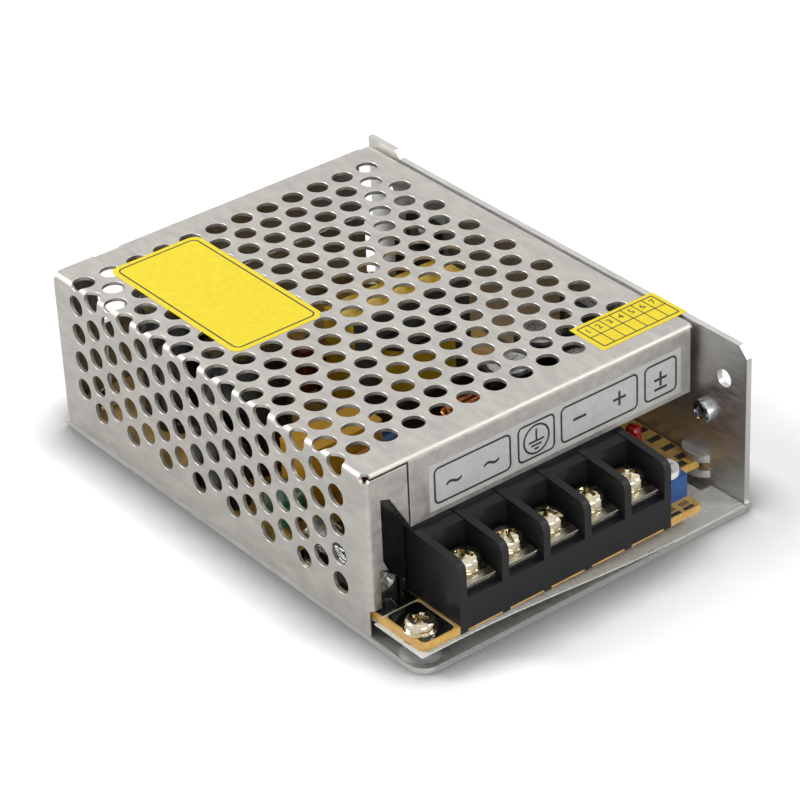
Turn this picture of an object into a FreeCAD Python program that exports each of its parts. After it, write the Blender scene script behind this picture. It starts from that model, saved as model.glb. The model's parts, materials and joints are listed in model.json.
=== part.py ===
"""Mesh case switching power supply with a five way screw terminal block.

A perforated folded cover sits on a folded chassis. The board inside carries the converter,
and its front edge stands out on an open shelf, where the terminal block is reached.

Lengths are millimetres. x runs from the left side to the right, y from the front of the
cover to the rear, z up from the underside. save() moves each piece to the part's origin,
which is the centre of the footprint, on the surface that the part stands on.
"""
import FreeCAD, Part
import math
import os

V = FreeCAD.Vector

# Case
CASE_WIDTH = 78.0
CASE_LENGTH = 110.0
COVER_TOP = 34.5          # top face of the cover above the underside
SHELF = 13.8              # how far the chassis runs out in front of the cover
CHASSIS_SHEET = 1.2
COVER_SHEET = 0.8
BEND_INSIDE = 0.4         # inside radius of the cover's folds
SHEET_GAP = 0.1           # between two sheets that lie beside each other
LUG_RISE = 1.5            # the right wall's rear lug above the cover
LUG_LENGTH = 8.5
WALL_SETBACK = 0.5        # front edge of the right wall behind the shelf's edge
WALL_CHAMFER = 2.0
SHELF_CORNER = 3.5
REAR_WALL_TOP = 19.5
REAR_WALL_SIDE = 10.2     # left end of the chassis rear wall
REAR_WALL_LAP = 20.0      # part of the bottom plate that is made with that wall
CORNER_RELIEF = 3.0       # right end of the rear wall, clear of the right wall

# Cover's front and rear folds
LIP_BOTTOM = 20.2
FLANGE_WIDTH = 9.4
SEAM = 0.4
SEAM_THIN = 0.15
FLANGE_STRIP = 3.4        # the flange's narrow leg beside the cut-out
FLANGE_FOOT = 2.6
CUTOUT_TOP = 28.6
CUTOUT_SHOULDER = 27.9
CUTOUT_LEFT = 5.4
CUTOUT_LOW = 21.0
NUB_TOP = 16.0
NUB_TIP = 13.6
NUB_REACH = 4.4
NUB_SLOPE = 0.8
RELIEF_RADIUS = 1.0
CUT_PAST = 0.05           # cutting tools reach this far past a sheet
REAR_LIP_LEFT = 15.5
REAR_LIP_END = 4.5        # from the case's right face
SIDE_RIM = 6.0            # height of the cover's hem along the right wall
RIM_END = 8.0             # hem's ends stay this far inside the cover's ends
TAB_LENGTH = 9.0          # the left wall's feet, folded in over the bottom plate
TAB_REACH = 7.0
TAB_PLACES = (24.0, 76.0)
TAB_HOLE_X = 3.9
RIM_SCREWS = (18.0, 66.0)
RIM_SCREW_RISE = 2.6      # above the hem's lower edge
LANCE_Y = -0.4            # centre of the two half moons that hold the board's edge
LANCE_REACH = 2.2
LANCE_HALF = 3.7
LANCE_SHEET = 1.5
LANCE_GAP = 0.1

# Perforation
HOLE_PITCH = 6.15
HOLE_RADIUS = 2.15
HOLE_SIDES = 6            # each round hole is a prism of its area, with few sides
HOLE_ROWS = 16
HOLE_COLUMNS = 12
HOLE_FIRST_X = 2.3        # first column's centre from the cover's left face
HOLE_FIRST_Y = 8.0        # first row's centre from the cover's rear face
SIDE_HOLES = 4            # holes of one row that continue down the left wall
SIDE_FIRST_DROP = 4.3     # first side hole below the cover's top, even rows
FOLD_DROP = 1.2           # centre of the holes that straddle the fold

# Circuit board
BOARD_TOP = 6.0
BOARD_SHEET = 1.6
BOARD_SIDE_GAP = 0.4
BOARD_FRONT_GAP = 0.9     # front edge of the board behind the shelf's edge
BOARD_REAR_GAP = 0.5
TONGUE_RIGHT = 66.4       # right edge of the board's part on the shelf
NOTCH_Y = -1.9            # where the board widens to the full case
BOARD_CORNER = 1.6
TONGUE_CORNER = 0.5
FILM_SHEET = 0.3
FILM_FRONT_GAP = 0.5
FILM_SIDE_GAP = 0.3
FILM_HOLE_GAP = 0.4
FILM_LANCE_GAP = 0.8
FILM_SAG_START = 8.0
FILM_SAG_END = 61.0
FILM_HIGH = 4.35          # top of the film under the board's left edge
STANDOFF_RADIUS = 2.8
THREAD_RADIUS = 1.5       # M3
THREAD_GAP = 0.06
THREAD_TIP = 0.4          # board screws end this far above the plate
BOARD_HEAD = 2.75
BOARD_HEAD_HEIGHT = 2.0
BOARD_WASHER = 3.2
BOARD_WASHER_SHEET = 0.5
BOARD_HOLE_GAP = 0.15
BOARD_SCREW_FRONT = (4.2, -8.6)
BOARD_SCREW_LEFT = 4.6    # rear screws, from the case's left, right and rear faces
BOARD_SCREW_RIGHT = 6.5
BOARD_SCREW_BACK = 6.2
LAYOUT_WIDTH = 78.0       # the places of the parts on the board are given for this case width
LAYOUT_DEPTH = 96.2       # and for this depth behind the cover's front

# Terminal block
TERMINALS = 5
TERMINAL_PITCH = 9.5
BARRIER_FIRST_X = 10.4
BARRIER_SHEET = 1.6
BARRIER_FRONT_TOP = 18.7
BARRIER_REAR_TOP = 19.8
BARRIER_ROUND = 2.0
BLOCK_FRONT = -13.1
BLOCK_REAR = 3.0
BLOCK_WALL_FRONT = -3.0   # front face of the wall behind the terminals
BLOCK_FOOT = 0.5
BLOCK_FLOOR = 12.0
BLOCK_STEP = 0.7
STEP_DEPTH = 1.6
BLOCK_WALL_DROP = 0.3     # the rear wall's top edge below the barriers' rear end
CONTACT_SHEET = 0.8
CONTACT_WIDTH = 7.0
CONTACT_FRONT = -11.6
CONTACT_REAR = -3.2
NUT_SIZE = 5.4            # square nut under each contact plate
NUT_DEPTH = 2.5
NUT_GAP = 0.1
BLOCK_SKIN = 0.5          # floor left under a nut pocket
TERMINAL_Y = -7.7
TERMINAL_THREAD = 1.75    # M3.5
SHAFT_GAP = 0.06
CLAMP_GAP = 0.1
CLAMP_SHEET = 0.8
CLAMP_SIZE = 6.6
CLAMP_BEAK = 1.2
CLAMP_BEND = 0.4
CLAMP_HOLE_GAP = 0.2
HEAD_RADIUS = 3.0
HEAD_HEIGHT = 2.4
WASHER_RADIUS = 3.2
WASHER_SHEET = 0.4
SCREW_LENGTH = 6.4
RECESS_WIDTH = 0.9
RECESS_DEPTH = 0.55       # of the head's height
RECESS_REACH = 0.6        # of the head's radius
HEAD_BAND = 0.45          # upright part of a pan head, of its height
HEAD_TOP = 0.72           # flat top of a pan head, of its radius
SEAT_GAP = 0.02           # under a piece that can lift off

# Insulation barrier, a folded plastic sheet left of the terminal block
BARRIER_FILM = 0.5
BARRIER_FILM_BEHIND = 0.15  # behind the cover's front flange
BARRIER_FILM_TOP = 32.5
BARRIER_FILM_BACK = 9.0
BARRIER_FILM_SIDE = 0.2   # gap to the terminal block
BARRIER_FILM_BEND = 0.4
BARRIER_CUT_LEFT = 2.9    # its lower left corner is cut off aslant, from here
BARRIER_CUT_HIGH = 14.0
BARRIER_CUT_LOW = 9.5     # height of the cut's right end, at the bend

# Voltage trimmer and indicator
TRIMMER_X = 63.3
TRIMMER_Y = -6.0
TRIMMER_BODY = 6.6
TRIMMER_HEIGHT = 4.6
ROTOR_RADIUS = 2.9
ROTOR_HEIGHT = 1.3
ROTOR_STEM = 1.2
ROTOR_LIFT = 0.1          # the rotor's disc above the body
ROTOR_SLOT = 2.2          # half length of its cross slot
STEM_DEPTH = 3.3
TRIMMER_CORNER = 0.8
LED_X = 65.9
LED_Y = 4.9
LED_RADIUS = 1.5
LED_RIM = 1.9
LED_HEIGHT = 9.0
LED_RIM_HEIGHT = 0.9

# Transformer
CORE_PLACE = (48.3, 51.7)
CORE_WIDTH = 27.5
CORE_DEPTH = 9.5
CORE_BOTTOM = 7.0
CORE_HEIGHT = 23.0
CORE_YOKE = 5.0
CORE_LEG = 5.0
CORE_CENTRE = 3.2         # half width of the centre leg
CORE_PARTING = 0.05
BOBBIN_GAP = 0.2
BOBBIN_WALL = 0.9
BOBBIN_FLANGE = 1.0
COIL_WIDTH = 16.4
COIL_DEPTH = 19.0
COIL_ROUND = 4.0
FLANGE_OUT = 0.4          # bobbin flanges beyond the winding
RAIL_OUT = 1.2
RAIL_INSET = 1.5
TAPE = 0.25
TAPE_INSET = 0.3

# Filter choke and output inductor, two standing rings
CHOKE_PLACE = (17.0, 17.0)
CHOKE_OUTER = 8.0
CHOKE_INNER = 4.6
CHOKE_THICK = 6.0
CHOKE_WIRE = 1.2
CHOKE_BASE = 1.2
CHOKE_BASE_OUT = 0.6
CHOKE_BASE_HALF = 8.5
CHOKE_SEAT = 2.0          # half length of the seat under the ring
CHOKE_STARTS = (-147, 17)
CHOKE_SWEEP = 130
RING_SIDES = 20
RING_LIFT = 0.1
INDUCTOR_PLACE = (40.5, 17.5)
INDUCTOR_OUTER = 8.5
INDUCTOR_INNER = 4.6
INDUCTOR_THICK = 6.5
INDUCTOR_WIRE = 1.1
INDUCTOR_SWEEP = 330

# Capacitors
BULK_RADIUS = 8.0
BULK_HEIGHT = 25.0
BULK_PLACES = ((15.0, 55.0), (15.0, 76.0))
OUTPUT_RADIUS = 5.0
OUTPUT_HEIGHT = 20.0
OUTPUT_PLACES = ((51.5, 11.5), (62.5, 15.0), (51.5, 23.0), (63.0, 27.5))
SUPPLY_PLACE = (29.5, 79.8)
SUPPLY_RADIUS = 3.15
SUPPLY_HEIGHT = 11.0
CAN_EDGE = 0.4
X_CAP = (9.0, 27.0, 29.5, 37.5, 15.0)
Y_CAP_PLACES = ((30.0, 24.5), (30.0, 33.0))
Y_CAP_RADIUS = 3.6
Y_CAP_THICK = 3.0
SNUBBER = (36.0, 43.0, 66.0, 70.5, 9.0)

# Fuse, thermistor, rectifier
FUSE_X = 5.6
FUSE_Y = 3.0
FUSE_LENGTH = 20.0
FUSE_RADIUS = 2.5
FUSE_CENTRE = 3.6         # axis above the board
CAP_SHEET = 0.2           # the end caps stand this far over the glass
CLIP_SHEET = 0.4
CLIP_GAP = 0.05
CLIP_INSET = 0.4
CLIP_RISE = 1.6           # clip's ears above the fuse's axis
CLIP_LENGTH = 5.0
THERMISTOR_PLACE = (5.2, 31.0)
THERMISTOR_RADIUS = 4.2
THERMISTOR_THICK = 3.4
BRIDGE = (1.8, 5.2, 42.0, 57.0, 13.0)

# Power transistors on the right wall
DEVICE_ROWS = {"output_rectifier": 31.0, "mosfet": 78.0}
DEVICE_WIDTH = 10.0
DEVICE_BODY = 4.4
DEVICE_TAB = 1.3
DEVICE_BOTTOM = 4.0       # plastic body above the board
DEVICE_BODY_HEIGHT = 9.2
DEVICE_TAB_HEIGHT = 6.0
DEVICE_HOLE_RISE = 3.0    # screw's centre above the plastic body
DEVICE_LAP = 0.5          # the tab's lower end inside the plastic
DEVICE_LEG_OUT = 1.6      # legs stand this far off the tab's back
DEVICE_LEG_SHEET = 0.5
DEVICE_LEG = 0.7
DEVICE_LEG_PITCH = 2.54
PAD_SHEET = 0.3
PAD_MARGIN = 1.0

# Small parts on the board
CHIP = (27.0, 33.5, 66.0, 75.5, 3.3)
OPTO = (26.5, 31.0, 84.0, 90.5, 3.5)
RESISTOR_RADIUS = 1.15
RESISTOR_LENGTH = 6.3
RESISTOR_PLACES = ((38.4, 73.5), (38.4, 79.5), (40.0, 85.0), (56.0, 68.0))
POWER_RESISTOR_RADIUS = 2.0
POWER_RESISTOR_LENGTH = 11.0
POWER_RESISTOR_PLACES = ((50.5, 76.0), (49.0, 90.0))
DIODE_RADIUS = 1.4
DIODE_LENGTH = 5.0
DIODE_PLACES = ((62.0, 78.0), (62.0, 84.0), (54.0, 37.0))
PIN_RADIUS = 0.35
DISC_LIFT = 1.5           # dipped discs stand this far above the board
LEAD_SPREAD = 0.6         # their leads, as a part of the radius
SMALL_LIFT = 0.3          # lying parts above the board
POWER_LIFT = 1.0
BLOCK_ROUND = 0.8         # upright edges of the box capacitors

# Labels
LABEL_SHEET = 0.1
LABEL_LARGE = (8.2, 28.6, 48.4, 7.6)  # its sides, and its ends from the case's rear face
LABEL_LARGE_ROUND = 2.0
LABEL_SMALL = (57.9, 3.9, 13.3)
LABEL_SMALL_DROP = 6.0
STRIP = (14.0, 5.0, 21.3, 30.8)  # left end, right end from the case's right face, heights

# Mounting holes
MOUNT_RADIUS = 1.8
BOTTOM_HOLE_SIDE = 5.8    # from the case's right face
BOTTOM_HOLE_FRONT = 4.5   # from the shelf's edge
BOTTOM_HOLE_BACK = 7.5    # from the case's rear face
SIDE_HOLE_Z = 26.0
SIDE_HOLE_FRONT = 6.3
SIDE_HOLE_BACK = 5.7
HOLE_DRILL = 9.0          # length of the drills that bore them
WALL_SCREW_Y = -2.6
WALL_SCREW_Z = 17.0
WALL_HEAD = 2.5
WALL_HEAD_HEIGHT = 1.7
RIVET_END = 0.8           # cover screws reach this far through both sheets

# Places worked out from the sizes above
FRONT = -SHELF
REAR = CASE_LENGTH - SHELF
WALL_INSIDE = CASE_WIDTH - CHASSIS_SHEET
COVER_RIGHT = WALL_INSIDE - SHEET_GAP
COVER_UNDER = COVER_TOP - COVER_SHEET
BEND_OUTSIDE = BEND_INSIDE + COVER_SHEET
BOARD_BOTTOM = BOARD_TOP - BOARD_SHEET
ACROSS = CASE_WIDTH / LAYOUT_WIDTH
ALONG = REAR / LAYOUT_DEPTH
SCREW_LINE = REAR - BOARD_SCREW_BACK
BOARD_SCREWS = (
    BOARD_SCREW_FRONT, (BOARD_SCREW_LEFT, SCREW_LINE), (CASE_WIDTH - BOARD_SCREW_RIGHT, SCREW_LINE))
BOTTOM_HOLE_X = CASE_WIDTH - BOTTOM_HOLE_SIDE
BOTTOM_HOLES_Y = (FRONT + BOTTOM_HOLE_FRONT, REAR - BOTTOM_HOLE_BACK)
SIDE_HOLES_Y = (FRONT + SIDE_HOLE_FRONT, REAR - SIDE_HOLE_BACK)
REAR_LIP_RIGHT = CASE_WIDTH - REAR_LIP_END
CORE_X = CORE_PLACE[0] * ACROSS
CORE_Y = CORE_PLACE[1] * ALONG
CHOKE_X = CHOKE_PLACE[0] * ACROSS
CHOKE_Y = CHOKE_PLACE[1] * ALONG
INDUCTOR_X = INDUCTOR_PLACE[0] * ACROSS
INDUCTOR_Y = INDUCTOR_PLACE[1] * ALONG
DEVICE_PLACES = {name: y * ALONG for name, y in DEVICE_ROWS.items()}
BARRIERS = TERMINALS + 1
BLOCK_LEFT = BARRIER_FIRST_X - BARRIER_SHEET / 2
BLOCK_RIGHT = BLOCK_LEFT + TERMINALS * TERMINAL_PITCH + BARRIER_SHEET
CONTACT_TOP = BLOCK_FLOOR + CONTACT_SHEET
CLAMP_BOTTOM = CONTACT_TOP + CLAMP_GAP
CLAMP_TOP = CLAMP_BOTTOM + CLAMP_SHEET
RIM_SCREW_Z = COVER_TOP - SIDE_RIM + RIM_SCREW_RISE
DEVICE_BASE = BOARD_TOP + DEVICE_BOTTOM
DEVICE_HOLE_Z = DEVICE_BASE + DEVICE_BODY_HEIGHT + DEVICE_HOLE_RISE
FAR = 200.0               # beyond everything, for cutting tools


def box(x0, x1, y0, y1, z0, z1):
    """A block between the given lowest and highest values."""
    return Part.makeBox(x1 - x0, y1 - y0, z1 - z0, V(x0, y0, z0))


def centred(x, y, half_x, half_y, z0, z1):
    """A block about an upright axis at x, y."""
    return box(x - half_x, x + half_x, y - half_y, y + half_y, z0, z1)


def cylinder(centre, radius, height, axis=V(0, 0, 1)):
    return Part.makeCylinder(radius, height, V(*centre), axis)


def fuse(*shapes):
    whole = shapes[0]
    for shape in shapes[1:]:
        whole = whole.fuse(shape)
    return whole.removeSplitter()


def rounded_wire(corners, to_vector):
    """A closed outline of (u, v, radius) corners, each rounded by a tangent arc."""
    points = [V(u, v, 0) for u, v, _ in corners]
    ends = []
    for index, (_, _, radius) in enumerate(corners):
        here = points[index]
        back = (points[index - 1] - here).normalize()
        ahead = (points[(index + 1) % len(points)] - here).normalize()
        half = back.getAngle(ahead) / 2
        if radius > 0:
            reach = radius / math.tan(half)
            middle = (back + ahead).normalize() * (radius / math.sin(half) - radius)
            ends.append((here + back * reach, here + middle, here + ahead * reach))
        else:
            ends.append((here, None, here))
    edges = []
    for index, (start, middle, end) in enumerate(ends):
        if middle is not None:
            edges.append(Part.Arc(to_vector(start), to_vector(middle), to_vector(end)).toShape())
        following = ends[(index + 1) % len(ends)][0]
        if (following - end).Length > 1e-6:
            edges.append(Part.makeLine(to_vector(end), to_vector(following)))
    return Part.Wire(edges)


def plan_prism(corners, z0, z1):
    """An outline seen from above, raised from z0 to z1."""
    wire = rounded_wire(corners, lambda p: V(p.x, p.y, z0))
    return Part.Face(wire).extrude(V(0, 0, z1 - z0))


def front_prism(corners, y0, y1):
    """An outline seen from the front, run back from y0 to y1."""
    wire = rounded_wire(corners, lambda p: V(p.x, y0, p.y))
    return Part.Face(wire).extrude(V(0, y1 - y0, 0))


def side_prism(corners, x0, x1):
    """An outline seen from the right, with y across, run from x0 to x1."""
    wire = rounded_wire(corners, lambda p: V(x0, p.x, p.y))
    return Part.Face(wire).extrude(V(x1 - x0, 0, 0))


def plain(points):
    return [(u, v, 0) for u, v in points]


def polygon(x, y, radius, sides):
    """Corners of a regular outline with the area of the circle that it stands for."""
    step = 2 * math.pi / sides
    corner = radius * math.sqrt(step / math.sin(step))
    angles = [(index + 0.5) * step for index in range(sides)]
    return [(x + corner * math.cos(angle), y + corner * math.sin(angle)) for angle in angles]


def spot(x, y):
    """A part's place on the board, which moves with the case's width and length."""
    return x * ACROSS, y * ALONG


def slab(x0, x1, y0, y1, z0, z1, radius):
    """A block whose upright edges are rounded."""
    return plan_prism([(x0, y0, radius), (x1, y0, radius), (x1, y1, radius), (x0, y1, radius)], z0, z1)


def turned(profile, centre):
    """A turned solid about an upright axis, from (radius, height) points."""
    points = [V(centre[0] + r, centre[1], centre[2] + h) for r, h in profile]
    face = Part.Face(Part.makePolygon(points + [points[0]]))
    return face.revolve(V(*centre), V(0, 0, 1), 360)


def save(name, *solids):
    """Write one node, with its pieces moved to the part's origin."""
    shape = solids[0] if len(solids) == 1 else Part.makeCompound(list(solids))
    shape = shape.copy()
    shape.translate(V(-CASE_WIDTH / 2, SHELF - CASE_LENGTH / 2, 0))
    shape.exportStep("parts/" + name + ".step")
    print(name, len(shape.Solids), "solids", round(shape.Volume, 1), "mm3", shape.isValid())


def cross_recess(centre, depth, reach):
    """The cross slot of a screw head whose top is at the given centre."""
    x, y, z = centre
    half = RECESS_WIDTH / 2
    along = box(x - reach, x + reach, y - half, y + half, z - depth, z + depth)
    across = box(x - half, x + half, y - reach, y + reach, z - depth, z + depth)
    return along.fuse(across)


def pan_screw(radius, height, shank, length, washer=0.0, washer_sheet=0.0, recess=True):
    """A pan head screw that points down, with its seat at the origin."""
    top = washer_sheet + height
    profile = [(0, -length), (shank, -length), (shank, 0)]
    if washer:
        profile += [(washer, 0), (washer, washer_sheet)]
    profile += [(radius, washer_sheet), (radius, washer_sheet + height * HEAD_BAND)]
    profile += [(radius * HEAD_TOP, top), (0, top)]
    body = turned(profile, (0, 0, 0))
    if not recess:
        return body
    return body.cut(cross_recess((0, 0, top), height * RECESS_DEPTH, radius * RECESS_REACH))


def perforation():
    """The hole pattern's cutting prisms, over the top and down the left wall."""
    row_pitch = HOLE_PITCH * math.sin(math.radians(60))
    reach = BEND_OUTSIDE + 0.1
    ring = polygon(0, 0, HOLE_RADIUS, HOLE_SIDES)

    def downward(x, y):
        points = [V(x + a, y + b, COVER_TOP - reach) for a, b in ring]
        return Part.Face(Part.makePolygon(points + [points[0]])).extrude(V(0, 0, reach + 1))

    def sideways(y, z):
        points = [V(-1, y + a, z + b) for a, b in ring]
        return Part.Face(Part.makePolygon(points + [points[0]])).extrude(V(reach + 1, 0, 0))

    tools = []
    for row in range(HOLE_ROWS):
        y = REAR - HOLE_FIRST_Y - row * row_pitch
        shift = HOLE_PITCH / 2 if row % 2 else 0.0
        for column in range(HOLE_COLUMNS):
            x = HOLE_FIRST_X + column * HOLE_PITCH - shift
            if x > 0:
                tools.append(downward(x, y))
        for column in range(SIDE_HOLES):
            tools.append(sideways(y, COVER_TOP - SIDE_FIRST_DROP - shift - column * HOLE_PITCH))
        if shift:
            tools.append(sideways(y, COVER_TOP - FOLD_DROP))
    return tools


def make_cover():
    """The folded cover: top, left wall, front and rear folds, hem and feet, perforated."""
    outer = box(0, COVER_RIGHT, 0, REAR, CHASSIS_SHEET, COVER_TOP)
    inner = box(COVER_SHEET, COVER_RIGHT - COVER_SHEET, COVER_SHEET, REAR - COVER_SHEET, -1, COVER_UNDER)

    def folds(shape, x0, x1, y0, y1, top):
        found = []
        for edge in shape.Edges:
            middle = edge.CenterOfMass
            on_top = abs(middle.z - top) < 1e-6
            upright = abs(middle.x - x0) < 1e-6 and min(abs(middle.y - y0), abs(middle.y - y1)) < 1e-6
            if on_top or upright:
                found.append(edge)
        return found

    outer = outer.makeFillet(BEND_OUTSIDE, folds(outer, 0, COVER_RIGHT, 0, REAR, COVER_TOP))
    inner = inner.makeFillet(BEND_INSIDE, folds(
        inner, COVER_SHEET, COVER_RIGHT - COVER_SHEET, COVER_SHEET, REAR - COVER_SHEET, COVER_UNDER))
    sheet = outer.cut(inner)
    over = COVER_TOP + 1
    front_cut = [
        (FLANGE_WIDTH, over), (FLANGE_WIDTH, CUTOUT_LOW), (CUTOUT_LEFT, CUTOUT_SHOULDER),
        (FLANGE_STRIP, CUTOUT_TOP), (FLANGE_STRIP, NUB_TOP), (NUB_REACH, NUB_TIP),
        (FLANGE_FOOT, NUB_TIP + NUB_SLOPE), (FLANGE_FOOT, 0), (FAR, 0), (FAR, LIP_BOTTOM),
        (FLANGE_WIDTH + SEAM, LIP_BOTTOM), (FLANGE_WIDTH + SEAM, over)]
    rear_cut = [
        (FLANGE_WIDTH, over), (FLANGE_WIDTH, 0), (FAR, 0), (FAR, over), (REAR_LIP_RIGHT, over),
        (REAR_LIP_RIGHT, LIP_BOTTOM), (REAR_LIP_LEFT, LIP_BOTTOM), (REAR_LIP_LEFT, over)]
    side_cut = [
        (RIM_END, over), (RIM_END, COVER_TOP - SIDE_RIM), (REAR - RIM_END, COVER_TOP - SIDE_RIM),
        (REAR - RIM_END, over), (FAR, over), (FAR, 0), (-FAR, 0), (-FAR, over)]
    depth = COVER_SHEET + CUT_PAST
    side = COVER_RIGHT - depth
    tools = [
        front_prism(plain(front_cut), -1, depth),
        front_prism(plain(rear_cut), REAR - depth, REAR + 1),
        side_prism(plain(side_cut), side, side + FAR).cut(box(-FAR, FAR, -FAR, FAR, COVER_UNDER, FAR)),
        box(side, FAR, -FAR, FAR, -1, COVER_TOP - SIDE_RIM),
    ]
    tools.append(box(COVER_SHEET, FAR, -1, depth, 0, BOARD_TOP + BOARD_SIDE_GAP))
    for y in (0, REAR):
        tools.append(cylinder((0, y, COVER_UNDER), RELIEF_RADIUS, 3, V(0, 0, 1)))
        tools.append(cylinder((0, y, COVER_UNDER), RELIEF_RADIUS, 2 * FAR, V(0, 1 if y else -1, 0)))
        low = y - 1 if y == 0 else REAR - depth
        tools.append(box(-1, FLANGE_WIDTH, low, low + 1 + depth, COVER_UNDER - SEAM_THIN, COVER_UNDER))
    sheet = sheet.cut(Part.makeCompound(perforation()))
    for tool in tools:
        sheet = sheet.cut(tool)
    for y in TAB_PLACES:
        foot = box(COVER_SHEET / 2, TAB_REACH, y, y + TAB_LENGTH, CHASSIS_SHEET, CHASSIS_SHEET + COVER_SHEET)
        foot = foot.cut(cylinder((TAB_HOLE_X, y + TAB_LENGTH / 2, 0), THREAD_RADIUS + THREAD_GAP, FAR))
        sheet = sheet.fuse(foot)
    for y in RIM_SCREWS:
        start = (COVER_RIGHT - 2 * COVER_SHEET, y, RIM_SCREW_Z)
        sheet = sheet.cut(cylinder(start, THREAD_RADIUS + THREAD_GAP, FAR, V(1, 0, 0)))
    return sheet.removeSplitter()


def lance(z0):
    """A half moon pressed in from the right wall, which holds the board's edge."""
    radius = (LANCE_HALF ** 2 + LANCE_REACH ** 2) / (2 * LANCE_REACH)
    tip = WALL_INSIDE - LANCE_REACH
    disc = cylinder((tip + radius, LANCE_Y, z0), radius, LANCE_SHEET)
    return disc.common(box(tip, WALL_INSIDE + CHASSIS_SHEET / 2, -FAR, FAR, 0, FAR))


def make_chassis():
    """The folded chassis: bottom plate, right wall with its lug and lances, rear wall."""
    inside = BEND_INSIDE
    outside = inside + CHASSIS_SHEET
    wall_top = COVER_TOP + LUG_RISE
    profile = [
        (0, 0, 0), (CASE_WIDTH, 0, outside), (CASE_WIDTH, wall_top, 0), (WALL_INSIDE, wall_top, 0),
        (WALL_INSIDE, CHASSIS_SHEET, inside), (0, CHASSIS_SHEET, 0)]
    body = front_prism(profile, FRONT, REAR)
    lap = REAR - REAR_WALL_LAP
    rear_profile = [
        (lap, 0, 0), (REAR, 0, outside), (REAR, REAR_WALL_TOP, 0),
        (REAR - CHASSIS_SHEET, REAR_WALL_TOP, 0), (REAR - CHASSIS_SHEET, CHASSIS_SHEET, inside),
        (lap, CHASSIS_SHEET, 0)]
    right_end = WALL_INSIDE - CORNER_RELIEF
    body = body.cut(box(REAR_WALL_SIDE, right_end, REAR - outside, FAR, -1, FAR))
    body = body.fuse(side_prism(rear_profile, REAR_WALL_SIDE, right_end)).removeSplitter()
    wall_front = FRONT + WALL_SETBACK
    lug_front = REAR - LUG_LENGTH
    wall_cut = [
        (-FAR, -1), (wall_front, -1), (wall_front, COVER_TOP - WALL_CHAMFER),
        (wall_front + WALL_CHAMFER, COVER_TOP), (lug_front - LUG_RISE, COVER_TOP),
        (lug_front, wall_top), (lug_front, FAR), (-FAR, FAR)]
    body = body.cut(side_prism(plain(wall_cut), WALL_INSIDE - 0.01, FAR).cut(
        box(-FAR, FAR, -FAR, FAR, -FAR, outside)))
    body = body.cut(box(right_end, WALL_INSIDE - 0.01, REAR - outside, FAR, -1, FAR))
    corner = box(-1, SHELF_CORNER, FRONT - 1, FRONT + SHELF_CORNER, -1, outside)
    corner = corner.cut(cylinder((SHELF_CORNER, FRONT + SHELF_CORNER, -1), SHELF_CORNER, FAR))
    body = body.cut(corner)
    body = body.fuse(lance(BOARD_TOP + LANCE_GAP)).fuse(lance(BOARD_BOTTOM - LANCE_GAP - LANCE_SHEET))
    across = V(1, 0, 0)
    for y in SIDE_HOLES_Y:
        body = body.cut(cylinder((WALL_INSIDE - 1, y, SIDE_HOLE_Z), MOUNT_RADIUS, HOLE_DRILL, across))
    for y in BOTTOM_HOLES_Y:
        body = body.cut(cylinder((BOTTOM_HOLE_X, y, -1), MOUNT_RADIUS, HOLE_DRILL))
    threads = [(WALL_SCREW_Y, WALL_SCREW_Z)]
    threads += [(y, DEVICE_HOLE_Z) for y in DEVICE_PLACES.values()]
    threads += [(y, RIM_SCREW_Z) for y in RIM_SCREWS]
    for y, z in threads:
        body = body.cut(cylinder((WALL_INSIDE - 1, y, z), THREAD_RADIUS + THREAD_GAP, HOLE_DRILL, across))
    for y in TAB_PLACES:
        place = (TAB_HOLE_X, y + TAB_LENGTH / 2, -1)
        body = body.cut(cylinder(place, THREAD_RADIUS + THREAD_GAP, HOLE_DRILL))
    return body.removeSplitter()


def make_board():
    """The circuit board: a wide part in the case and a narrower tongue on the shelf."""
    left = COVER_SHEET + BOARD_SIDE_GAP
    right = WALL_INSIDE - BOARD_SIDE_GAP
    front = FRONT + BOARD_FRONT_GAP
    rear = REAR - CHASSIS_SHEET - BOARD_REAR_GAP
    outline = [
        (left, front, BOARD_CORNER), (TONGUE_RIGHT, front, TONGUE_CORNER),
        (TONGUE_RIGHT, NOTCH_Y, TONGUE_CORNER), (right, NOTCH_Y, TONGUE_CORNER),
        (right, rear, BOARD_CORNER), (left, rear, BOARD_CORNER)]
    board = plan_prism(outline, BOARD_BOTTOM, BOARD_TOP)
    for x, y in BOARD_SCREWS:
        board = board.cut(cylinder((x, y, 0), THREAD_RADIUS + BOARD_HOLE_GAP, FAR))
    return board


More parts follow.
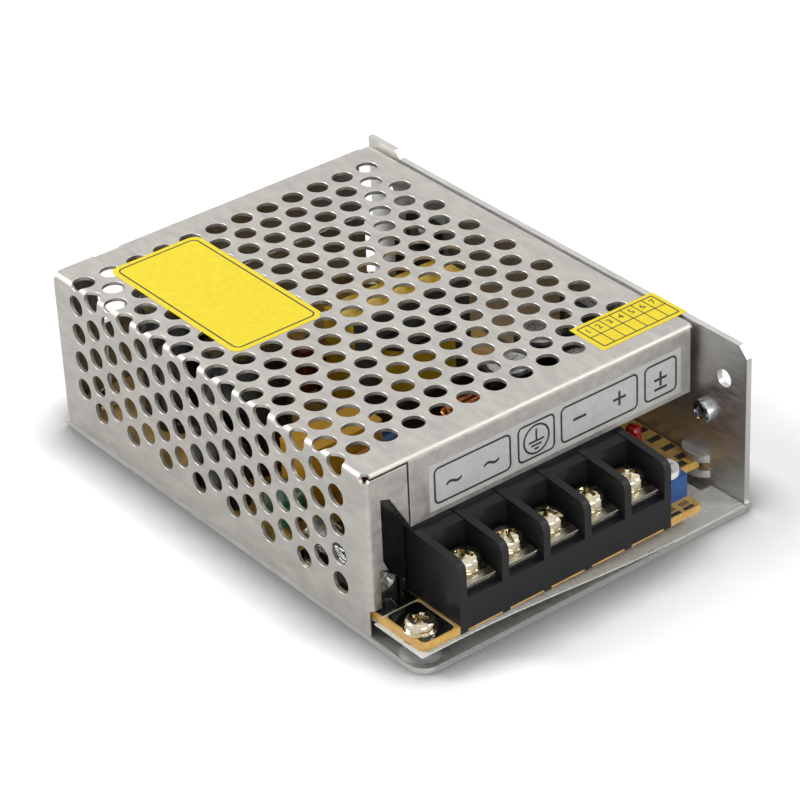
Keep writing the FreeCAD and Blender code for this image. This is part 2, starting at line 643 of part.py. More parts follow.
def make_film():
    """The insulating film: lifted to the board at the left, sagging to the plate further right."""
    low = CHASSIS_SHEET + SEAT_GAP
    left = COVER_SHEET + FILM_SIDE_GAP
    right = WALL_INSIDE - BOARD_SIDE_GAP
    front = FRONT + FILM_FRONT_GAP
    rear = REAR - CHASSIS_SHEET - FILM_SIDE_GAP
    top = FILM_HIGH
    bottom = FILM_HIGH - FILM_SHEET
    profile = [
        (left, bottom), (FILM_SAG_START, bottom), (FILM_SAG_END, low), (right, low),
        (right, low + FILM_SHEET), (FILM_SAG_END, low + FILM_SHEET), (FILM_SAG_START, top), (left, top)]
    film = front_prism(plain(profile), front, rear)
    for x, y in BOARD_SCREWS:
        film = film.cut(cylinder((x, y, 0), STANDOFF_RADIUS + FILM_HOLE_GAP, FAR))
    tab_top = CHASSIS_SHEET + COVER_SHEET + FILM_HOLE_GAP
    tab_right = TAB_REACH + FILM_HOLE_GAP
    for y in TAB_PLACES:
        film = film.cut(box(-1, tab_right, y - FILM_HOLE_GAP, y + TAB_LENGTH + FILM_HOLE_GAP, 0, tab_top))
    reach = LANCE_HALF + FILM_LANCE_GAP
    side = WALL_INSIDE - LANCE_REACH - FILM_LANCE_GAP
    return film.cut(box(side, FAR, LANCE_Y - reach, LANCE_Y + reach, 0, FAR))


def make_standoffs():
    """Hexagonal threaded posts under the board."""
    solids = []
    for x, y in BOARD_SCREWS:
        post = plan_prism(plain(polygon(x, y, STANDOFF_RADIUS, 6)), CHASSIS_SHEET, BOARD_BOTTOM)
        solids.append(post.cut(cylinder((x, y, 0), THREAD_RADIUS + THREAD_GAP, FAR)))
    return solids


def placed(shape, x, y, z, axis=None, angle=0):
    moved = shape.copy()
    if axis:
        moved.rotate(V(0, 0, 0), axis, angle)
    moved.translate(V(x, y, z))
    return moved


def make_board_screws():
    length = BOARD_TOP - CHASSIS_SHEET - THREAD_TIP
    front = pan_screw(BOARD_HEAD, BOARD_HEAD_HEIGHT, THREAD_RADIUS, length, BOARD_WASHER, BOARD_WASHER_SHEET)
    rear = pan_screw(BOARD_HEAD, BOARD_HEAD_HEIGHT, THREAD_RADIUS, length, recess=False)
    return [placed(rear if y > 0 else front, x, y, BOARD_TOP) for x, y in BOARD_SCREWS]


def barrier_profile():
    """Side outline of one barrier: upright front, rounded top corner, top edge rising to the rear."""
    return [
        (BLOCK_FRONT, BOARD_TOP, 0), (BLOCK_FRONT, BARRIER_FRONT_TOP, BARRIER_ROUND),
        (BLOCK_REAR, BARRIER_REAR_TOP, 0), (BLOCK_REAR, BOARD_TOP, 0)]


def terminal_x(index):
    return BARRIER_FIRST_X + (index + 0.5) * TERMINAL_PITCH


def make_block():
    """The moulded terminal block: six barriers, a rear wall, stepped floors and nut pockets."""
    base = BOARD_TOP + BLOCK_FOOT
    floor = [
        (BLOCK_FRONT, base, 0), (BLOCK_FRONT, BLOCK_FLOOR - BLOCK_STEP, 0),
        (BLOCK_FRONT + STEP_DEPTH, BLOCK_FLOOR - BLOCK_STEP, 0), (BLOCK_FRONT + STEP_DEPTH, BLOCK_FLOOR, 0),
        (BLOCK_WALL_FRONT, BLOCK_FLOOR, 0), (BLOCK_WALL_FRONT, BARRIER_REAR_TOP - 2 * BLOCK_WALL_DROP, 0),
        (BLOCK_REAR, BARRIER_REAR_TOP - BLOCK_WALL_DROP, 0), (BLOCK_REAR, base, 0)]
    block = side_prism(floor, BLOCK_LEFT, BLOCK_RIGHT)
    for index in range(BARRIERS):
        x = BLOCK_LEFT + index * TERMINAL_PITCH
        block = block.fuse(side_prism(barrier_profile(), x, x + BARRIER_SHEET))
    for index in range(TERMINALS):
        half = NUT_SIZE / 2 + NUT_GAP
        block = block.cut(centred(terminal_x(index), TERMINAL_Y, half, half, base + BLOCK_SKIN, FAR))
    return block.removeSplitter()


def make_contacts():
    """Five plated contact plates, each with the threaded square nut that is swaged under it."""
    solids = []
    for index in range(TERMINALS):
        x = terminal_x(index)
        half = CONTACT_WIDTH / 2
        plate = box(x - half, x + half, CONTACT_FRONT, CONTACT_REAR, BLOCK_FLOOR, CONTACT_TOP)
        side = NUT_SIZE / 2
        nut = centred(x, TERMINAL_Y, side, side, BLOCK_FLOOR - NUT_DEPTH, BLOCK_FLOOR)
        bore = cylinder((x, TERMINAL_Y, 0), TERMINAL_THREAD, FAR)
        solids.append(plate.fuse(nut).cut(bore).removeSplitter())
    return solids


def make_clamp(index):
    """A pressure plate whose front edge is turned down over the wire."""
    x = terminal_x(index)
    half = CLAMP_SIZE / 2
    y0 = TERMINAL_Y - half
    y1 = TERMINAL_Y + half
    edge = y0 - CLAMP_BEAK
    profile = [
        (edge, CLAMP_BOTTOM), (y1, CLAMP_BOTTOM), (y1, CLAMP_TOP), (y0 + CLAMP_BEND, CLAMP_TOP),
        (edge, (CLAMP_BOTTOM + CLAMP_TOP) / 2)]
    plate = side_prism(plain(profile), x - half, x + half)
    hole = cylinder((x, TERMINAL_Y, 0), TERMINAL_THREAD + CLAMP_HOLE_GAP, FAR)
    return plate.cut(hole)


def make_terminal_screw(index):
    shank = TERMINAL_THREAD - SHAFT_GAP
    screw = pan_screw(HEAD_RADIUS, HEAD_HEIGHT, shank, SCREW_LENGTH, WASHER_RADIUS, WASHER_SHEET)
    return placed(screw, terminal_x(index), TERMINAL_Y, CLAMP_TOP + SEAT_GAP)


def make_insulation_barrier():
    """A folded sheet: one leg across the gap beside the block, one leg running back."""
    left = COVER_SHEET + BOARD_SIDE_GAP
    right = BLOCK_LEFT - BARRIER_FILM_SIDE
    y0 = COVER_SHEET + BARRIER_FILM_BEHIND
    y1 = y0 + BARRIER_FILM_BACK
    t = BARRIER_FILM
    outline = [
        (left, y0, 0), (right, y0, BARRIER_FILM_BEND + t), (right, y1, 0),
        (right - t, y1, 0), (right - t, y0 + t, BARRIER_FILM_BEND), (left, y0 + t, 0)]
    sheet = plan_prism(outline, BOARD_TOP, BARRIER_FILM_TOP)
    bend = right - BARRIER_FILM_BEND - t
    high = BARRIER_CUT_HIGH
    corner = [(0, 0), (bend, 0), (bend, BARRIER_CUT_LOW), (BARRIER_CUT_LEFT, high), (0, high)]
    return sheet.cut(front_prism(plain(corner), 0, y0 + t + CUT_PAST))


def make_trimmer():
    half = TRIMMER_BODY / 2
    top = BOARD_TOP + TRIMMER_HEIGHT
    left = TRIMMER_X - half
    front = TRIMMER_Y - half
    body = slab(left, left + TRIMMER_BODY, front, front + TRIMMER_BODY, BOARD_TOP, top, TRIMMER_CORNER)
    well = top - STEM_DEPTH - SHAFT_GAP
    body = body.cut(cylinder((TRIMMER_X, TRIMMER_Y, well), ROTOR_STEM + SHAFT_GAP, FAR))
    low = top + ROTOR_LIFT
    rotor = cylinder((TRIMMER_X, TRIMMER_Y, low), ROTOR_RADIUS, ROTOR_HEIGHT)
    stem = cylinder((TRIMMER_X, TRIMMER_Y, top - STEM_DEPTH), ROTOR_STEM, STEM_DEPTH + ROTOR_LIFT)
    rotor = rotor.fuse(stem)
    slot = cross_recess((TRIMMER_X, TRIMMER_Y, low + ROTOR_HEIGHT), ROTOR_HEIGHT * RECESS_DEPTH, ROTOR_SLOT)
    return body, rotor.cut(slot).removeSplitter()


def make_led():
    straight = LED_HEIGHT - LED_RADIUS
    half = LED_RADIUS / math.sqrt(2)
    profile = [
        (0, 0), (LED_RIM, 0), (LED_RIM, LED_RIM_HEIGHT), (LED_RADIUS, LED_RIM_HEIGHT),
        (LED_RADIUS, straight), (half, straight + half), (0, LED_HEIGHT)]
    return turned(profile, (LED_X, LED_Y, BOARD_TOP))


def make_transformer():
    """Two E shaped core halves, bobbin with its two pin rails, winding, and the tape round the core."""
    x0 = CORE_X - CORE_WIDTH / 2
    x1 = CORE_X + CORE_WIDTH / 2
    y0 = CORE_Y - CORE_DEPTH / 2
    y1 = CORE_Y + CORE_DEPTH / 2
    low = CORE_BOTTOM
    high = CORE_BOTTOM + CORE_HEIGHT
    middle = (low + high) / 2
    halves = []
    for z0, z1, yoke in ((low, middle - CORE_PARTING, low), (middle + CORE_PARTING, high, high - CORE_YOKE)):
        halves.append(fuse(
            box(x0, x1, y0, y1, yoke, yoke + CORE_YOKE),
            box(x0, x0 + CORE_LEG, y0, y1, z0, z1),
            box(x1 - CORE_LEG, x1, y0, y1, z0, z1),
            centred(CORE_X, CORE_Y, CORE_CENTRE, CORE_DEPTH / 2, z0, z1)))
    flange_low = low + CORE_YOKE + BOBBIN_GAP
    flange_high = high - CORE_YOKE - BOBBIN_GAP

    def round_leg(grow, z0, z1):
        return centred(CORE_X, CORE_Y, CORE_CENTRE + grow, CORE_DEPTH / 2 + grow, z0, z1)

    def coil_slab(grow, z0, z1):
        half_x = COIL_WIDTH / 2 + grow
        half_y = COIL_DEPTH / 2 + grow
        return slab(CORE_X - half_x, CORE_X + half_x, CORE_Y - half_y, CORE_Y + half_y, z0, z1, COIL_ROUND)

    tube = BOBBIN_GAP + BOBBIN_WALL
    rail_inner = CORE_DEPTH / 2 + BOBBIN_GAP
    rail_outer = COIL_DEPTH / 2 + RAIL_OUT
    rail_width = (rail_outer - rail_inner) / 2
    rail_half = CORE_WIDTH / 2 - RAIL_INSET
    rail_top = flange_low + BOBBIN_FLANGE
    bobbin = fuse(
        coil_slab(FLANGE_OUT, flange_low, flange_low + BOBBIN_FLANGE),
        coil_slab(FLANGE_OUT, flange_high - BOBBIN_FLANGE, flange_high),
        round_leg(tube, flange_low, flange_high))
    for side in (-1, 1):
        rail_y = CORE_Y + side * (rail_inner + rail_width)
        bobbin = bobbin.fuse(centred(CORE_X, rail_y, rail_half, rail_width, BOARD_TOP, rail_top))
    bobbin = bobbin.cut(round_leg(BOBBIN_GAP, 0, FAR))
    coil = coil_slab(0, flange_low + BOBBIN_FLANGE, flange_high - BOBBIN_FLANGE)
    coil = coil.cut(round_leg(tube, 0, FAR))
    band = box(x0 - TAPE, x1 + TAPE, y0 + TAPE_INSET, y1 - TAPE_INSET, low - TAPE, high + TAPE)
    band = band.cut(box(x0, x1, y0 - 1, y1 + 1, low, high))
    return halves, bobbin.removeSplitter(), coil, band


def wheel(x, y, z, radius, thick):
    """A many sided disc with its axis along x."""
    return side_prism(plain(polygon(y, z, radius, RING_SIDES)), x - thick / 2, x + thick / 2)


def ring(x, y, z, outer, inner, thick):
    """A ring that stands on edge with its axis along x."""
    return wheel(x, y, z, outer, thick).cut(wheel(x, y, z, inner, thick + 2))


def wound_sector(x, y, z, outer, inner, thick, wire, first, sweep):
    """The space of a winding on such a ring, over an arc that starts at first degrees."""
    wide = ring(x, y, z, outer + wire, inner - wire, thick + 2 * wire)
    shell = wide.cut(ring(x, y, z, outer, inner, thick))
    reach = 3 * outer
    corners = [(y, z, 0)]
    for step in range(5):
        angle = math.radians(first + sweep * step / 4)
        corners.append((y + reach * math.sin(angle), z + reach * math.cos(angle), 0))
    return shell.common(side_prism(corners, x - thick, x + thick))


def make_choke():
    """A standing ring with two separate windings, in a base with a trough for it."""
    centre_z = BOARD_TOP + CHOKE_BASE + CHOKE_OUTER + RING_LIFT
    size = (CHOKE_X, CHOKE_Y, centre_z, CHOKE_OUTER, CHOKE_INNER, CHOKE_THICK)
    windings = [wound_sector(*size, CHOKE_WIRE, first, CHOKE_SWEEP) for first in CHOKE_STARTS]
    half = CHOKE_THICK / 2 + CHOKE_WIRE + CHOKE_BASE_OUT
    base_top = BOARD_TOP + CHOKE_BASE
    base = centred(CHOKE_X, CHOKE_Y, half, CHOKE_BASE_HALF, BOARD_TOP, base_top)
    wide = CHOKE_OUTER + CHOKE_WIRE + RING_LIFT
    trough = wheel(CHOKE_X, CHOKE_Y, centre_z, wide, CHOKE_THICK + 2 * CHOKE_WIRE + RING_LIFT)
    seat = centred(CHOKE_X, CHOKE_Y, half, CHOKE_SEAT, BOARD_TOP, base_top)
    return ring(*size), windings, fuse(base.cut(trough), seat)


def make_inductor():
    """A standing ring wound almost all the way round."""
    centre_z = BOARD_TOP + INDUCTOR_OUTER + INDUCTOR_WIRE + RING_LIFT
    size = (INDUCTOR_X, INDUCTOR_Y, centre_z, INDUCTOR_OUTER, INDUCTOR_INNER, INDUCTOR_THICK)
    return ring(*size), wound_sector(*size, INDUCTOR_WIRE, -INDUCTOR_SWEEP / 2, INDUCTOR_SWEEP)


def make_can(x, y, radius, height):
    """An electrolytic can in its sleeve, with a rounded top edge."""
    x, y = spot(x, y)
    edge = height - CAN_EDGE
    profile = [(0, 0), (radius, 0), (radius, edge), (radius - CAN_EDGE, height), (0, height)]
    return turned(profile, (x, y, BOARD_TOP))


def make_device(y):
    """A flat power package with its metal tab screwed to the right wall."""
    tab_face = WALL_INSIDE - PAD_SHEET
    tab_back = tab_face - DEVICE_TAB
    body_back = tab_face - DEVICE_BODY
    half = DEVICE_WIDTH / 2
    z0 = DEVICE_BASE
    z1 = z0 + DEVICE_BODY_HEIGHT
    body = box(body_back, tab_face - SEAT_GAP, y - half, y + half, z0, z1)
    tab = box(tab_back, tab_face, y - half, y + half, z0 + DEVICE_LAP, z1 + DEVICE_TAB_HEIGHT)
    package = body.fuse(tab)
    leg_x = tab_back - DEVICE_LEG_OUT
    leg_half = DEVICE_LEG_SHEET / 2
    for step in (-1, 0, 1):
        leg_y = y + step * DEVICE_LEG_PITCH
        leg = DEVICE_LEG / 2
        package = package.fuse(box(
            leg_x - leg_half, leg_x + leg_half, leg_y - leg, leg_y + leg, BOARD_TOP, z0 + DEVICE_LAP))
    hole = cylinder((body_back, y, DEVICE_HOLE_Z), THREAD_RADIUS + BOARD_HOLE_GAP, FAR, V(1, 0, 0))
    return package.cut(hole).removeSplitter()


def make_pads():
    """Thin insulating pads between the power packages and the wall."""
    solids = []
    for y in DEVICE_PLACES.values():
        half = DEVICE_WIDTH / 2 + PAD_MARGIN
        z1 = DEVICE_BASE + DEVICE_BODY_HEIGHT + DEVICE_TAB_HEIGHT + PAD_MARGIN
        pad = box(WALL_INSIDE - PAD_SHEET, WALL_INSIDE, y - half, y + half, DEVICE_BASE, z1)
        hole = cylinder((WALL_INSIDE - 1, y, DEVICE_HOLE_Z), THREAD_RADIUS + BOARD_HOLE_GAP, FAR, V(1, 0, 0))
        solids.append(pad.cut(hole))
    return solids


def lying(x, y, radius, length, lift):
    """A small axial part along x, with a lead bent down to the board at each end."""
    x, y = spot(x, y)
    z =BOARD_TOP + lift + radius
    body = cylinder((x - length / 2, y, z), radius, length, V(1, 0, 0))
    for side in (-1, 1):
        lead_x = x + side * (length / 2 + PIN_RADIUS)
        body = body.fuse(centred(lead_x, y, PIN_RADIUS, PIN_RADIUS, BOARD_TOP, z + PIN_RADIUS))
    return body.removeSplitter()


def make_fuse():
    z = BOARD_TOP + FUSE_CENTRE
    along = V(0, 1, 0)
    body = cylinder((FUSE_X, FUSE_Y, z), FUSE_RADIUS, FUSE_LENGTH, along)
    start = (FUSE_X, FUSE_Y + CLIP_LENGTH, z)
    glass = FUSE_LENGTH - 2 * CLIP_LENGTH
    neck = cylinder(start, FUSE_RADIUS, glass, along)
    slim = cylinder(start, FUSE_RADIUS - CAP_SHEET, glass, along)
    tube = body.cut(neck).fuse(slim).removeSplitter()
    clips = []
    half = FUSE_RADIUS + CLIP_GAP
    outer = half + CLIP_SHEET
    for y in (FUSE_Y + CLIP_INSET, FUSE_Y + FUSE_LENGTH - CLIP_LENGTH + CLIP_INSET):
        y1 = y + CLIP_LENGTH - 2 * CLIP_INSET
        clip = box(FUSE_X - outer, FUSE_X + outer, y, y1, BOARD_TOP, z + CLIP_RISE)
        bore = cylinder((FUSE_X, y - 1, z), half, CLIP_LENGTH + 2, along)
        mouth = box(FUSE_X - half, FUSE_X + half, y - 1, y1 + 1, z, FAR)
        clips.append(clip.cut(bore).cut(mouth))
    return tube, clips


def small_block(sizes, chamfer=0.0):
    """A box shaped part of the given left, right, front and rear places and height."""
    x0, x1, y0, y1, height = sizes
    x, y = spot((x0 + x1) / 2, (y0 + y1) / 2)
    half_x = (x1 - x0) / 2
    half_y = (y1 - y0) / 2
    top = BOARD_TOP + height
    if chamfer:
        return slab(x - half_x, x + half_x, y - half_y, y + half_y, BOARD_TOP, top, chamfer)
    return centred(x, y, half_x, half_y, BOARD_TOP, top)


def standing_disc(x, y, radius, thick):
    """A dipped disc on two leads, with its flat faces to the left and right."""
    x, y = spot(x, y)
    z =BOARD_TOP + radius + DISC_LIFT
    disc = cylinder((x - thick / 2, y, z), radius, thick, V(1, 0, 0))
    for side in (-1, 1):
        lead_y = y + side * radius * LEAD_SPREAD
        disc = disc.fuse(centred(x, lead_y, PIN_RADIUS, PIN_RADIUS, BOARD_TOP, z))
    return disc.removeSplitter()


def make_labels():
    x0, x1, front, back = LABEL_LARGE
    top = COVER_TOP + LABEL_SHEET
    large = slab(x0, x1, REAR - front, REAR - back, COVER_TOP, top, LABEL_LARGE_ROUND)
    sx, sy0, sy1 = LABEL_SMALL
    out =CASE_WIDTH + LABEL_SHEET
    small_profile = [
        (sx, COVER_TOP, 0), (CASE_WIDTH, COVER_TOP, 0), (CASE_WIDTH, top - LABEL_SMALL_DROP, 0),
        (out, top - LABEL_SMALL_DROP, 0), (out, top, 0), (sx, top, 0)]
    small = front_prism(small_profile, sy0, sy1)
    lx0, end, lz0, lz1 = STRIP
    strip = box(lx0, CASE_WIDTH - end, -LABEL_SHEET, 0, lz0, lz1)
    return large, small, strip


def main():
    os.makedirs("parts", exist_ok=True)
    across = V(0, 1, 0)
    save("chassis", make_chassis())
    save("cover", make_cover())
    save("insulating_film", make_film())
    save("insulation_barrier", make_insulation_barrier())
    save("circuit_board", make_board())
    save("pcb_standoffs", *make_standoffs())
    save("pcb_screws", *make_board_screws())
    inside_screw = pan_screw(WALL_HEAD, WALL_HEAD_HEIGHT, THREAD_RADIUS, CHASSIS_SHEET)
    save("wall_screw", placed(inside_screw, WALL_INSIDE, WALL_SCREW_Y, WALL_SCREW_Z, across, -90))
    end = -CHASSIS_SHEET - COVER_SHEET - RIVET_END
    flat_screw = cylinder((0, 0, end), THREAD_RADIUS, -end)
    cover_screws = [placed(flat_screw, CASE_WIDTH, y, RIM_SCREW_Z, across, 90) for y in RIM_SCREWS]
    for y in TAB_PLACES:
        cover_screws.append(placed(flat_screw, TAB_HOLE_X, y + TAB_LENGTH / 2, 0, across, 180))
    save("cover_screws", *cover_screws)
    save("terminal_block", make_block())
    save("terminal_contacts", *make_contacts())
    for index in range(TERMINALS):
        save(f"wire_clamp_{index + 1}", make_clamp(index))
        save(f"terminal_screw_{index + 1}", make_terminal_screw(index))
    trimmer, rotor = make_trimmer()
    save("trimmer_body", trimmer)
    save("trimmer_rotor", rotor)
    save("indicator_led", make_led())
    halves, bobbin, coil, band = make_transformer()
    save("transformer_core", *halves)
    save("transformer_bobbin", bobbin)
    save("transformer_winding", coil)
    save("transformer_tape", band)
    core, windings, base = make_choke()
    save("choke_core", core)
    save("choke_windings", *windings)
    save("choke_base", base)
    core, winding = make_inductor()
    save("inductor_core", core)
    save("inductor_winding", winding)
    for number, (x, y) in enumerate(BULK_PLACES, 1):
        save(f"bulk_capacitor_{number}", make_can(x, y, BULK_RADIUS, BULK_HEIGHT))
    for number, (x, y) in enumerate(OUTPUT_PLACES, 1):
        save(f"output_capacitor_{number}", make_can(x, y, OUTPUT_RADIUS, OUTPUT_HEIGHT))
    save("supply_capacitor", make_can(*SUPPLY_PLACE, SUPPLY_RADIUS, SUPPLY_HEIGHT))
    save("x_capacitor", small_block(X_CAP, BLOCK_ROUND))
    save("y_capacitors", *[standing_disc(x, y, Y_CAP_RADIUS, Y_CAP_THICK) for x, y in Y_CAP_PLACES])
    save("snubber_capacitor", small_block(SNUBBER, BLOCK_ROUND))
    tube, clips = make_fuse()
    save("fuse", tube)
    save("fuse_clips", *clips)
    save("thermistor", standing_disc(*THERMISTOR_PLACE, THERMISTOR_RADIUS, THERMISTOR_THICK))
    save("bridge_rectifier", small_block(BRIDGE))
    for name, y in DEVICE_PLACES.items():
        save(name, make_device(y))
    save("insulating_pads", *make_pads())
    grip = DEVICE_TAB + PAD_SHEET + CHASSIS_SHEET
    tab_screw = pan_screw(WALL_HEAD, WALL_HEAD_HEIGHT, THREAD_RADIUS, grip, recess=False)
    seat_x = WALL_INSIDE - PAD_SHEET - DEVICE_TAB
    places = DEVICE_PLACES.values()
    save("transistor_screws", *[placed(tab_screw, seat_x, y, DEVICE_HOLE_Z, across, -90) for y in places])
    save("controller_ic", small_block(CHIP))
    save("optocoupler", small_block(OPTO))
    small = (RESISTOR_RADIUS, RESISTOR_LENGTH, SMALL_LIFT)
    save("resistors", *[lying(x, y, *small) for x, y in RESISTOR_PLACES])
    power = (POWER_RESISTOR_RADIUS, POWER_RESISTOR_LENGTH, POWER_LIFT)
    save("power_resistors", *[lying(x, y, *power) for x, y in POWER_RESISTOR_PLACES])
    save("small_diodes", *[lying(x, y, DIODE_RADIUS, DIODE_LENGTH, SMALL_LIFT) for x, y in DIODE_PLACES])
    large, small, strip = make_labels()
    save("sticker_large", large)
    save("sticker_small", small)
    save("marking_strip", strip)


main()
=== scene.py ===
# %% [markdown]
# # A mesh case switching power supply
#
# A small enclosed supply has a folded aluminium chassis, a perforated steel cover over it, and a shelf at
# the front where the wires are screwed down. The solids come from the CAD model. This script gives every
# one of them the finish of the real thing, and builds again the pieces that the camera sees best.

# %% Load the solids
import json
import math

import bmesh
import bpy
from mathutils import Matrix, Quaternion, Vector


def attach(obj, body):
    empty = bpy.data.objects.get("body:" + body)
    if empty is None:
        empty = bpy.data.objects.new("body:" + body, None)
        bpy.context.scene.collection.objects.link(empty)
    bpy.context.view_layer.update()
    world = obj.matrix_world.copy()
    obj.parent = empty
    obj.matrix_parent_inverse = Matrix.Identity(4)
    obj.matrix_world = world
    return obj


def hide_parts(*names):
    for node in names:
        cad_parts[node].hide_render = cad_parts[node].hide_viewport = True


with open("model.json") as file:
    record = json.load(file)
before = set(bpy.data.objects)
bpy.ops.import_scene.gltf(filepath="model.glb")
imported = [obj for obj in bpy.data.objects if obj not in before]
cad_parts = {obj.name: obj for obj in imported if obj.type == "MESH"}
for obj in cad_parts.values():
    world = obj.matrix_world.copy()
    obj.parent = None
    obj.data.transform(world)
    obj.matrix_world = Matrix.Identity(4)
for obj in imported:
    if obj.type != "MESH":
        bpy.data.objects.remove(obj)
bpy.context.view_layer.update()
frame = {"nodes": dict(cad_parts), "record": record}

# %% [markdown]
# ## One ruler for everything
#
# A case like this is drawn in millimetres from its front left corner, where the cover begins. Blender works
# in metres from the middle of the part. One small function turns the first into the second, so that every
# size below can be read with a real ruler in hand.

# %% A ruler in millimetres
MM = 0.001
CASE_MIDDLE = (39.0, 41.2, 0.0)


def at(x, y, z):
    """A point of the case in millimetres, as Blender's metres."""
    return Vector(((x - CASE_MIDDLE[0]) * MM, (y - CASE_MIDDLE[1]) * MM, (z - CASE_MIDDLE[2]) * MM))


print("front left corner of the cover:", at(0, 0, 0))

# %% [markdown]
# ## Colours and nodes
#
# A colour given in hex is an sRGB value, but light adds up in linear values, so each hex colour is turned
# once. The second helper adds one node to a material, sets it and links it. A dictionary of settings keeps
# each node on one line, which reads better than ten lines of clicks.

# %% Two helpers for materials


def linear(code):
    """A hex colour such as #C8C4BE as linear red, green, blue and alpha."""
    parts = [int(code[i:i + 2], 16) / 255 for i in (1, 3, 5)]
    return [p / 12.92 if p <= 0.04045 else ((p + 0.055) / 1.055) ** 2.4 for p in parts] + [1.0]


def add(tree, kind, settings=None, links=None):
    """Adds a node. A setting is an input, by name or number, or else one of the node's own properties."""
    node = tree.nodes.new(kind)
    for name, value in (settings or {}).items():
        if isinstance(name, int) or name in node.inputs:
            node.inputs[name].default_value = value
        else:
            setattr(node, name, value)
    for name, source in (links or {}).items():
        tree.links.new(source, node.inputs[name])
    return node


print("cover grey in linear light:", linear("#BDB9B4"))

# %% [markdown]
# ## What every finish shares
#
# No real surface has one even colour and one even gloss. Rolled sheet has lines, moulded plastic has spark
# grain, dipped epoxy has a slow wave. All of them can be drawn with one noise that changes colour, gloss and
# height together, because on a real surface the same scratch does all three. The noise is set by the size
# of the grain in millimetres, and stretched where the surface was rolled or brushed. Real grain is often a
# tenth of that size. It is drawn as coarse as it needs to be to show at the distance of this camera.

# %% One finish
# Blender's noise hardly ever leaves these two values.
NOISE_LOW = 0.3
NOISE_HIGH = 0.7


def finish(name, dark, light, grain, rough, relief=0.0, stretch=(1, 1, 1), **sockets):
    """A finish between two colours and two roughnesses, with relief in millimetres over its grain."""
    material = bpy.data.materials.new(name)
    material.use_nodes = True
    tree = material.node_tree
    shader = tree.nodes["Principled BSDF"]
    for socket, value in sockets.items():
        shader.inputs[socket.replace("_", " ")].default_value = value
    place = add(tree, "ShaderNodeTexCoord")
    size = [1 / (grain * MM * s) for s in stretch]
    mapped = add(tree, "ShaderNodeMapping", {"Scale": size}, {"Vector": place.outputs["Object"]})
    noise = add(tree, "ShaderNodeTexNoise", {"Scale": 1.0, "Detail": 4.0, "Roughness": 0.6},
                {"Vector": mapped.outputs[0]})
    even = add(tree, "ShaderNodeMapRange", {1: NOISE_LOW, 2: NOISE_HIGH}, {0: noise.outputs[0]})
    tint = add(tree, "ShaderNodeMix", {"data_type": "RGBA", 6: linear(dark), 7: linear(light)},
               {0: even.outputs[0]})
    gloss = add(tree, "ShaderNodeMapRange", {1: NOISE_LOW, 2: NOISE_HIGH, 3: rough[0], 4: rough[1]},
                {0: noise.outputs[0]})
    bump = add(tree, "ShaderNodeBump", {"Strength": 0.6, "Distance": relief * MM},
               {"Height": noise.outputs[0]})
    tree.links.new(tint.outputs[2], shader.inputs["Base Color"])
    tree.links.new(gloss.outputs[0], shader.inputs["Roughness"])
    tree.links.new(bump.outputs[0], shader.inputs["Normal"])
    return material


FINISHES = {}
print("noise from", NOISE_LOW, "to", NOISE_HIGH)

# %% [markdown]
# ## Sheet metal
#
# The cover is zinc coated steel, the chassis is mill finish aluminium, and the bosses under the board are
# pressed up out of the chassis plate. A metal keeps the default index of refraction, because its colour is
# simply what it reflects. So the eye tells the three sheets apart by how sharp that reflection is, and the
# bosses also by a darker colour, which is painted shade of the gap under the board.

# %% Sheet metal
# The zinc has grown in small crystals, which gives a warm grey that is nearly matt, with soft clouds.
FINISHES["cover_steel"] = finish(
    "zinc_coated_steel", "#B4B0AB", "#C6C2BC", 1.6, (0.42, 0.55), 0.006, (1, 3, 1), Metallic=1.0)
# The rolls leave fine lines along the sheet, which draw each reflection out into a streak.
FINISHES["chassis_aluminium"] = finish(
    "mill_aluminium", "#BCBCBA", "#D8D7D4", 0.35, (0.34, 0.5), 0.004, (1, 14, 1), Metallic=1.0)
# The punch has stretched and roughened the sheet, which leaves it matt. Its darker colour is painted shade of
# the gap under the board.
SHADED_PRESSED_SHEET = finish("pressed_aluminium_painted_shade", "#6C6C6B", "#807F7D", 0.5, (0.56, 0.7), 0.004, Metallic=1.0)
print("sheets:", len(FINISHES) + 1)

# %% [markdown]
# ## Plated and bright parts
#
# Screws, clamps and contacts are small and bright. Nickel is warm, zinc under its blue passivation is cool,
# and tin lies between them and is softer. Each gets its own metal, since side by side these small shifts of
# colour are what makes hardware look real.

# %% Plated and bright parts
# Bright zinc on small steel parts: a cool satin grey.
FINISHES["zinc_steel"] = finish(
    "bright_zinc", "#AEB2B6", "#D0D2D2", 0.8, (0.25, 0.4), 0.003, Metallic=1.0)
# Nickel is plated smooth, which gives warm white glints with dark gaps between them.
FINISHES["nickel_steel"] = finish(
    "nickel_plate", "#C4B99F", "#E4DBC4", 0.5, (0.05, 0.12), 0.002, Metallic=1.0)
# Tin is soft and gets rubbed, so its glints are wider and duller.
FINISHES["tinned_brass"] = finish(
    "tinned_brass", "#C2BCAB", "#DDD9CC", 0.6, (0.2, 0.36), 0.003, Metallic=1.0)
# Can tops are drawn aluminium, with rings too fine to see at this distance: a plain silver disc.
CAN_TOP = finish("drawn_aluminium", "#BFC0C0", "#DADADA", 0.3, (0.2, 0.34), 0.003, Metallic=1.0)
# The clamps are pressed with fine ridges that bite the wire and tumbled bright, so that they mirror the black
# walls beside them and glint in thin lines. Their colour is darker than the screws' nickel: painted shade
# from the walls of the block round them.
SHADED_TUMBLED_NICKEL = finish(
    "tumbled_nickel_painted_shade", "#8C8678", "#AEA796", 0.42, (0.05, 0.12), 0.12, (14, 1, 1), Metallic=1.0)
# The screw in the wall has passivated zinc, which looks bluish beside the nickel.
COOL_STEEL = finish("blue_white_zinc", "#B4BAC2", "#D3D8DC", 0.6, (0.14, 0.26), 0.003, Metallic=1.0)
print("bright metals:", 6)

